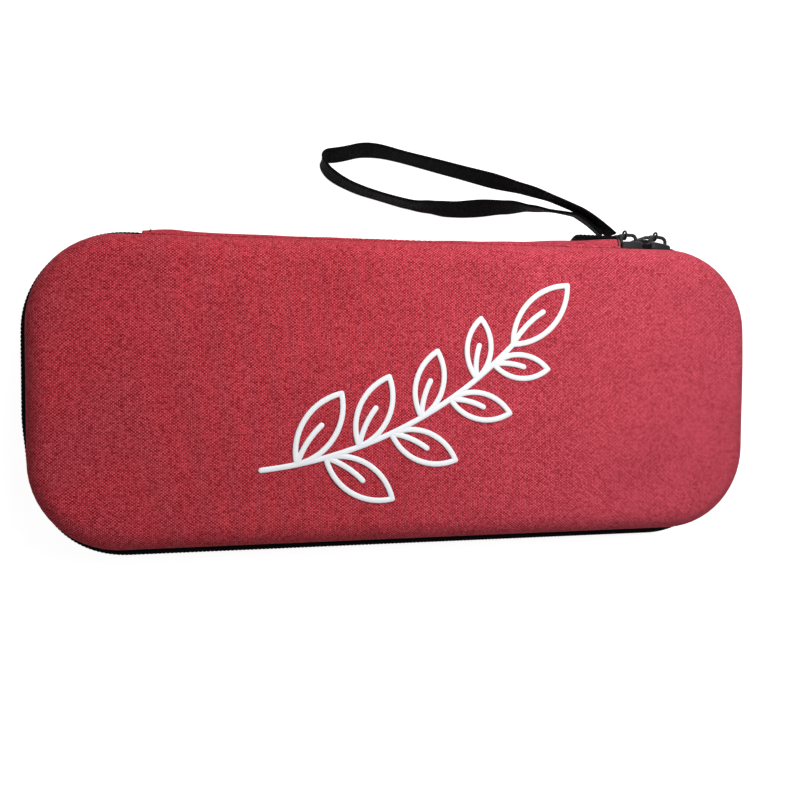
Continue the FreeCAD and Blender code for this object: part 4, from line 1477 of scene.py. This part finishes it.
def band_tacks():
    """Close zigzag bars of thread across both ends of each band."""
    heap = Heap()
    up = INSIDE + BAND_THICK + 0.05
    count = round(2 * TACK_HALF / TACK_STEP) + 1
    for middle in (-BAND_PLACE, BAND_PLACE):
        for y in (-TACK_PLACE, TACK_PLACE):
            sides = [TACK_WIDE if i % 2 else -TACK_WIDE for i in range(count)]
            line = [(middle - TACK_HALF + TACK_STEP * i, y + side, up) for i, side in enumerate(sides)]
            heap.stitches(line, [(0, 0, 1)] * count, 0.28, 0.04)
    return heap


fit("elastic_strap_tacks", band_tacks(), BLACK_THREAD, "base", "elastic_band_tacks")

# Inside the lid: the net pocket.
NET_LOW, NET_THICK = 36.5, 0.6
NET_OUT = wall_out(BINDING_DEPTH, 2 * PART - NET_LOW - NET_THICK) - 0.1
MOUTH_Y = -HALF_WIDTH - NET_OUT + 36.0
NET_CELL = 3.4
NET_COLUMNS = 90  # to each side of the middle
YARN = 0.5
BORDER_WIDE, BORDER_LOW, BORDER_TOP = 9.0, NET_LOW - 0.5, NET_LOW + 0.05
BORDER_SEAMS = (NET_OUT - 1.6, NET_OUT - 7.8)
HEM_STEPS, HEM_SIDES = 220, 16
HEM_HALF, HEM_RISE = 3.0, 1.0


def net_sag(x, y):
    """How far the slack net hangs below its edges."""
    edge = inside(x, y) + NET_OUT
    from_mouth = y - MOUTH_Y
    slack = smooth(min(edge / 26, 0.35 + from_mouth / 40))
    return 0.9 * slack + 0.35 * slack * noise.noise(Vector((x / 19, y / 15, 5.5)))


def pocket_net():
    """A net of small six-sided holes: its cells are faces, of which a modifier leaves the edges as yarn."""
    shape = bmesh.new()
    corners = {}
    row_step, half_wide = NET_CELL * 0.75, NET_CELL * math.sqrt(3) / 4
    rows = int((HALF_WIDTH + NET_OUT - MOUTH_Y) / row_step) + 1
    for row in range(rows):
        y = MOUTH_Y + row * row_step
        for column in range(-NET_COLUMNS, NET_COLUMNS + 1):
            x = (2 * column + row % 2) * half_wide
            if inside(x, y) + NET_OUT < 1.4:
                continue
            ring = []
            for k in range(6):
                angle = math.radians(60 * k + 30)
                px = x + NET_CELL / 2 * math.cos(angle)
                py = max(y + NET_CELL / 2 * math.sin(angle), MOUTH_Y)
                key = (round(px, 2), round(py, 2))
                if key not in corners:
                    up = NET_LOW + NET_THICK / 2 - net_sag(px, py)
                    corners[key] = shape.verts.new((px * MM, py * MM, up * MM))
                if corners[key] not in ring:
                    ring.append(corners[key])
            if len(ring) > 3:
                shape.faces.new(ring)
    mesh = bpy.data.meshes.new("pocket_net")
    shape.to_mesh(mesh)
    shape.free()
    mesh.materials.append(NET_YARN)
    made = new_object("pocket_net", mesh)
    yarn = made.modifiers.new("yarn", "WIREFRAME")
    yarn.thickness = YARN * MM
    yarn.use_replace = True
    yarn.use_even_offset = False
    return made


net = pocket_net()
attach(net, "lid")
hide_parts("mesh_pocket_net")


def pocket_border():
    """The cloth edging round the net's two ends and its hinge side."""
    stretches = [
        ((-CORNER_X, MOUTH_Y), BACK_LEFT, 180, 180),
        (BACK_LEFT, BACK_LEFT, 180, 90),
        (BACK_LEFT, BACK_RIGHT, 90, 90),
        RIGHT_CORNER,
        (BACK_RIGHT, (CORNER_X, MOUTH_Y), 0, 0),
    ]
    outer, inner, low, top = NET_OUT + 0.05, NET_OUT - BORDER_WIDE, BORDER_LOW, BORDER_TOP
    section = rounded([(outer, low), (outer, top), (inner, top), (inner, low)], 0.2)
    heap, thread = Heap(), Heap()
    heap.sweep(stations(stretches, 4.0, 3.0), lambda station: section)
    for out in BORDER_SEAMS:
        track = stations_every(stretches, STITCH, out)
        thread.stitches([place_on(s, out, low) for s in track], [(0, 0, -1)] * len(track), THREAD)
    return heap, thread


border_mesh, border_thread = pocket_border()
fit("pocket_border", border_mesh, BINDING_CLOTH, "lid", "mesh_pocket_border", sharp=60)
fit("pocket_border_stitches", border_thread, BLACK_THREAD, "lid")


def pocket_hem():
    """The gathered elastic along the pocket's mouth."""
    heap = Heap()
    rows, weave = [], []
    half_length = HALF_LENGTH + NET_OUT
    middle_y, middle_up = MOUTH_Y - HEM_HALF, NET_LOW + NET_THICK / 2
    for i in range(HEM_STEPS + 1):
        x = -half_length + 2 * half_length * i / HEM_STEPS
        gather = 0.22 * math.sin(i * 1.9) + 0.12 * math.sin(i * 0.83 + 1)
        calm = smooth((half_length - abs(x)) / 8)
        ring = []
        for k in range(HEM_SIDES + 1):
            angle = math.tau * k / HEM_SIDES
            wide = HEM_HALF + gather * 0.5 * calm * math.cos(3 * angle)
            high = HEM_RISE + gather * 0.4 * calm
            y = wide * math.copysign(abs(math.cos(angle)) ** 0.7, math.cos(angle))
            z = high * math.copysign(abs(math.sin(angle)) ** 0.8, math.sin(angle))
            ring.append((x, middle_y + min(y, HEM_HALF), middle_up + z))
        rows.append(ring)
        weave.append([(x, k) for k in range(HEM_SIDES + 1)])
    heap.grid(rows, weave)
    heap.ends(rows)
    return heap


fit("pocket_hem", pocket_hem(), ELASTIC_CLOTH, "lid", "mesh_pocket_hem", sharp=60)

# The raised print: a leafy sprig in round-topped strokes.
PRINT_LENGTH, PRINT_HEIGHT = 132.0, 84.0
STROKE, PRINT_RISE, PRINT_SUNK = 2.2, 0.55, 0.08
STROKE_SIDES = 8
CAP_ANGLES = (6, 30, 55, 75)  # degrees round a stroke's end, from its tip
STEM_STEPS = 100
LEAF_LENGTH, LEAF_WIDTH, LEAF_LEAN = 34.0, 14.0, 47.0
STEM_SHARES = ((-0.47, -0.36), (-0.03, -0.16), (0.3, 0.22))
LEAF_SHARES = ((0.12, 1), (0.22, -1), (0.34, 1), (0.46, -1), (0.58, 1), (0.7, -1), (0.82, 1), (0.9, -1))
LEAF_TAPER_SHARE, VEIN_SHARE = 0.35, 0.55


def circle_through(a, b, c):
    """The centre of the circle through three places on the lid."""
    (ax, ay), (bx, by), (cx, cy) = a, b, c
    double = 2 * (ax * (by - cy) + bx * (cy - ay) + cx * (ay - by))
    a2, b2, c2 = ax * ax + ay * ay, bx * bx + by * by, cx * cx + cy * cy
    return (
        (a2 * (by - cy) + b2 * (cy - ay) + c2 * (ay - by)) / double,
        (a2 * (cx - bx) + b2 * (ax - cx) + c2 * (bx - ax)) / double,
    )


def arc_places(a, b, c, steps):
    """Even places along the arc through a, b and c."""
    centre = circle_through(a, b, c)
    start, middle, end = (math.atan2(p[1] - centre[1], p[0] - centre[0]) for p in (a, b, c))
    turn = (end - start) % math.tau
    if (middle - start) % math.tau > turn:
        turn -= math.tau
    radius = math.dist(a, centre)
    angles = [start + turn * i / steps for i in range(steps + 1)]
    return [(centre[0] + radius * math.cos(angle), centre[1] + radius * math.sin(angle)) for angle in angles]


def stroke(heap, line):
    """A raised line with a round top and round ends, lying on the lid's cloth."""
    half = STROKE / 2
    first, second = Vector(line[0]), Vector(line[1])
    last, before = Vector(line[-1]), Vector(line[-2])
    opening, closing = (first - second).normalized(), (last - before).normalized()
    caps = [(math.cos(math.radians(a)), math.sin(math.radians(a))) for a in CAP_ANGLES]
    places = [(first + opening * half * far, wide) for far, wide in caps]
    places += [(Vector(p), 1.0) for p in line]
    places += [(last + closing * half * far, wide) for far, wide in reversed(caps)]
    rows, weave = [], []
    for i, (place, wide) in enumerate(places):
        ahead = places[min(i + 1, len(places) - 1)][0] - places[max(i - 1, 0)][0]
        side = Vector((-ahead.y, ahead.x)).normalized()
        row = []
        for k in range(STROKE_SIDES + 1):
            angle = math.pi * k / STROKE_SIDES
            spot = place + side * half * wide * math.cos(angle)
            rise = PRINT_RISE * wide**0.5 * math.sin(angle) ** 0.6
            row.append((spot.x, spot.y, 2 * PART + crown(spot.x, spot.y) + rise - PRINT_SUNK))
        rows.append(row + row[:1])
        weave.append([(p[0], p[1]) for p in rows[-1]])
    heap.grid(rows, weave)
    heap.ends(rows)


def sprig():
    """A stem with a leaf at its tip and others in turn along its two sides, each an outline and a vein."""
    heap = Heap()
    ends = [(x * PRINT_LENGTH, y * PRINT_HEIGHT) for x, y in STEM_SHARES]
    stem = arc_places(*ends, STEM_STEPS)
    stroke(heap, stem[::4])

    def leaf(share, lean, length):
        at = round(share * STEM_STEPS)
        foot = Vector(stem[at])
        way = Vector(stem[min(at + 1, STEM_STEPS)]) - Vector(stem[max(at - 1, 0)])
        heading = math.atan2(way.y, way.x) + math.radians(lean)
        way = Vector((math.cos(heading), math.sin(heading)))
        across = Vector((-way.y, way.x))
        tip, belly = foot + way * length, foot + way * length / 2
        half = LEAF_WIDTH / 2 * length / LEAF_LENGTH
        for side in (1, -1):
            stroke(heap, arc_places(foot, belly + across * half * side, tip, 14))
        vein = foot + way * length * VEIN_SHARE
        stroke(heap, arc_places(foot, foot + way * length * VEIN_SHARE / 2 + across * half / 6, vein, 8))

    for share, side in LEAF_SHARES:
        leaf(share, side * LEAF_LEAN, LEAF_LENGTH * (1 - LEAF_TAPER_SHARE * share))
    leaf(1, 0, LEAF_LENGTH)
    return heap


fit("lid_sprig_print", sprig(), PRINT, "lid", "lid_print", sharp=50)


# The studio, in metres.
FLOOR_REACH = 6.0
FLOOR_DROP = -0.0002
FLOOR_GLOW = 0.88  # what the camera sees of the floor, over the light that falls on it
SKY_LIGHT = 0.2
SENSOR, LENS = 36.0, 40.5
CAMERA_PLACE = (-0.0833, 0.0024, 0.4051)
CAMERA_LOOK = (0.21318, -0.0171, -0.97686)
CAMERA_UP = (0.00845, 0.99984, -0.01565)


def seen_directly(graph):
    """1 for what the camera sees, itself or in a glossy or clear surface."""
    rays = graph.node("LightPath").outputs
    bounced = graph.math("MAXIMUM", rays["Is Glossy Ray"], rays["Is Transmission Ray"])
    return graph.math("MAXIMUM", rays["Is Camera Ray"], bounced)


def pale_floor():
    """Pale and plain. The camera sees it lit up to white, so that only the case's own shadow shows on it."""
    made = Finish("pale_floor", Specular_IOR_Level=0.15)
    place = made.node("TexCoord").outputs["Object"]
    haze = made.noise(place, 4.0, 2.0)
    made.set(
        Base_Color=made.mix(haze, (0.6, 0.6, 0.6, 1), (0.63, 0.63, 0.63, 1)),
        Roughness=made.spread(haze, 0.3, 0.7, 0.7, 0.8),
    )
    far = made.spread(made.node("VectorMath", {0: place}, operation="LENGTH").outputs["Value"], 0.5, 2.0)
    glow = made.node("Emission", {"Color": (1, 1, 1, 1), "Strength": FLOOR_GLOW})
    white = made.node("Emission", {"Color": (1, 1, 1, 1), "Strength": 1.0})
    near = made.node("AddShader", {0: made.shader.outputs[0], 1: glow.outputs[0]})
    seen_floor = made.node("MixShader", {0: far, 1: near.outputs[0], 2: white.outputs[0]})
    both = made.node("MixShader", {0: seen_directly(made), 1: made.shader.outputs[0], 2: seen_floor.outputs[0]})
    output = next(n for n in made.tree.nodes if n.type == "OUTPUT_MATERIAL")
    made.tree.links.new(both.outputs[0], output.inputs[0])
    return made.material


def studio_floor():
    corners = [(x * FLOOR_REACH, y * FLOOR_REACH, 0) for x, y in ((-1, -1), (1, -1), (1, 1), (-1, 1))]
    mesh = bpy.data.meshes.new("studio_floor")
    mesh.from_pydata(corners, [], [(0, 1, 2, 3)])
    mesh.materials.append(pale_floor())
    floor = new_object("studio_floor", mesh)
    floor.location.z = FLOOR_DROP


def studio_world():
    world = bpy.data.worlds.new("studio")
    bpy.context.scene.world = world
    world.use_nodes = True
    graph = Graph(world.node_tree)
    world.node_tree.nodes.clear()
    strength = graph.between(seen_directly(graph), SKY_LIGHT, 1.0)
    sky = graph.node("Background", {"Color": (1, 1, 1, 1), "Strength": strength})
    output = graph.node("OutputWorld")
    graph.tree.links.new(sky.outputs[0], output.inputs[0])


def soft_box(name, place, aim, size, power):
    """A round lamp of that many watts, with its place, its aim and its size in metres."""
    data = bpy.data.lights.new(name, "AREA")
    data.shape, data.size, data.energy = "DISK", size, power
    lamp = new_object(name, data)
    lamp.location = place
    lamp.rotation_euler = (Vector(aim) - Vector(place)).to_track_quat("-Z", "Y").to_euler()


def studio_camera():
    """The camera where the photograph was taken from, which the case's outline gave."""
    data = bpy.data.cameras.new("studio_camera")
    data.sensor_width, data.lens = SENSOR, LENS
    data.clip_start, data.clip_end = 0.01, 50
    camera = new_object("studio_camera", data)
    look = Vector(CAMERA_LOOK).normalized()
    right = look.cross(Vector(CAMERA_UP)).normalized()
    up = right.cross(look)
    turn = Matrix((right, up, -look)).transposed().to_4x4()
    camera.matrix_world = Matrix.Translation(CAMERA_PLACE) @ turn
    bpy.context.scene.camera = camera


studio_floor()
studio_world()
soft_box("key_light", (0.066, 0.12, 0.33), (0.0, 0.0, 0.05), 0.26, 0.97)
soft_box("rear_light", (0.05, 0.55, 0.09), (0.0, 0.07, 0.03), 0.3, 0.95)
studio_camera()
bpy.context.scene.view_settings.view_transform = "Standard"
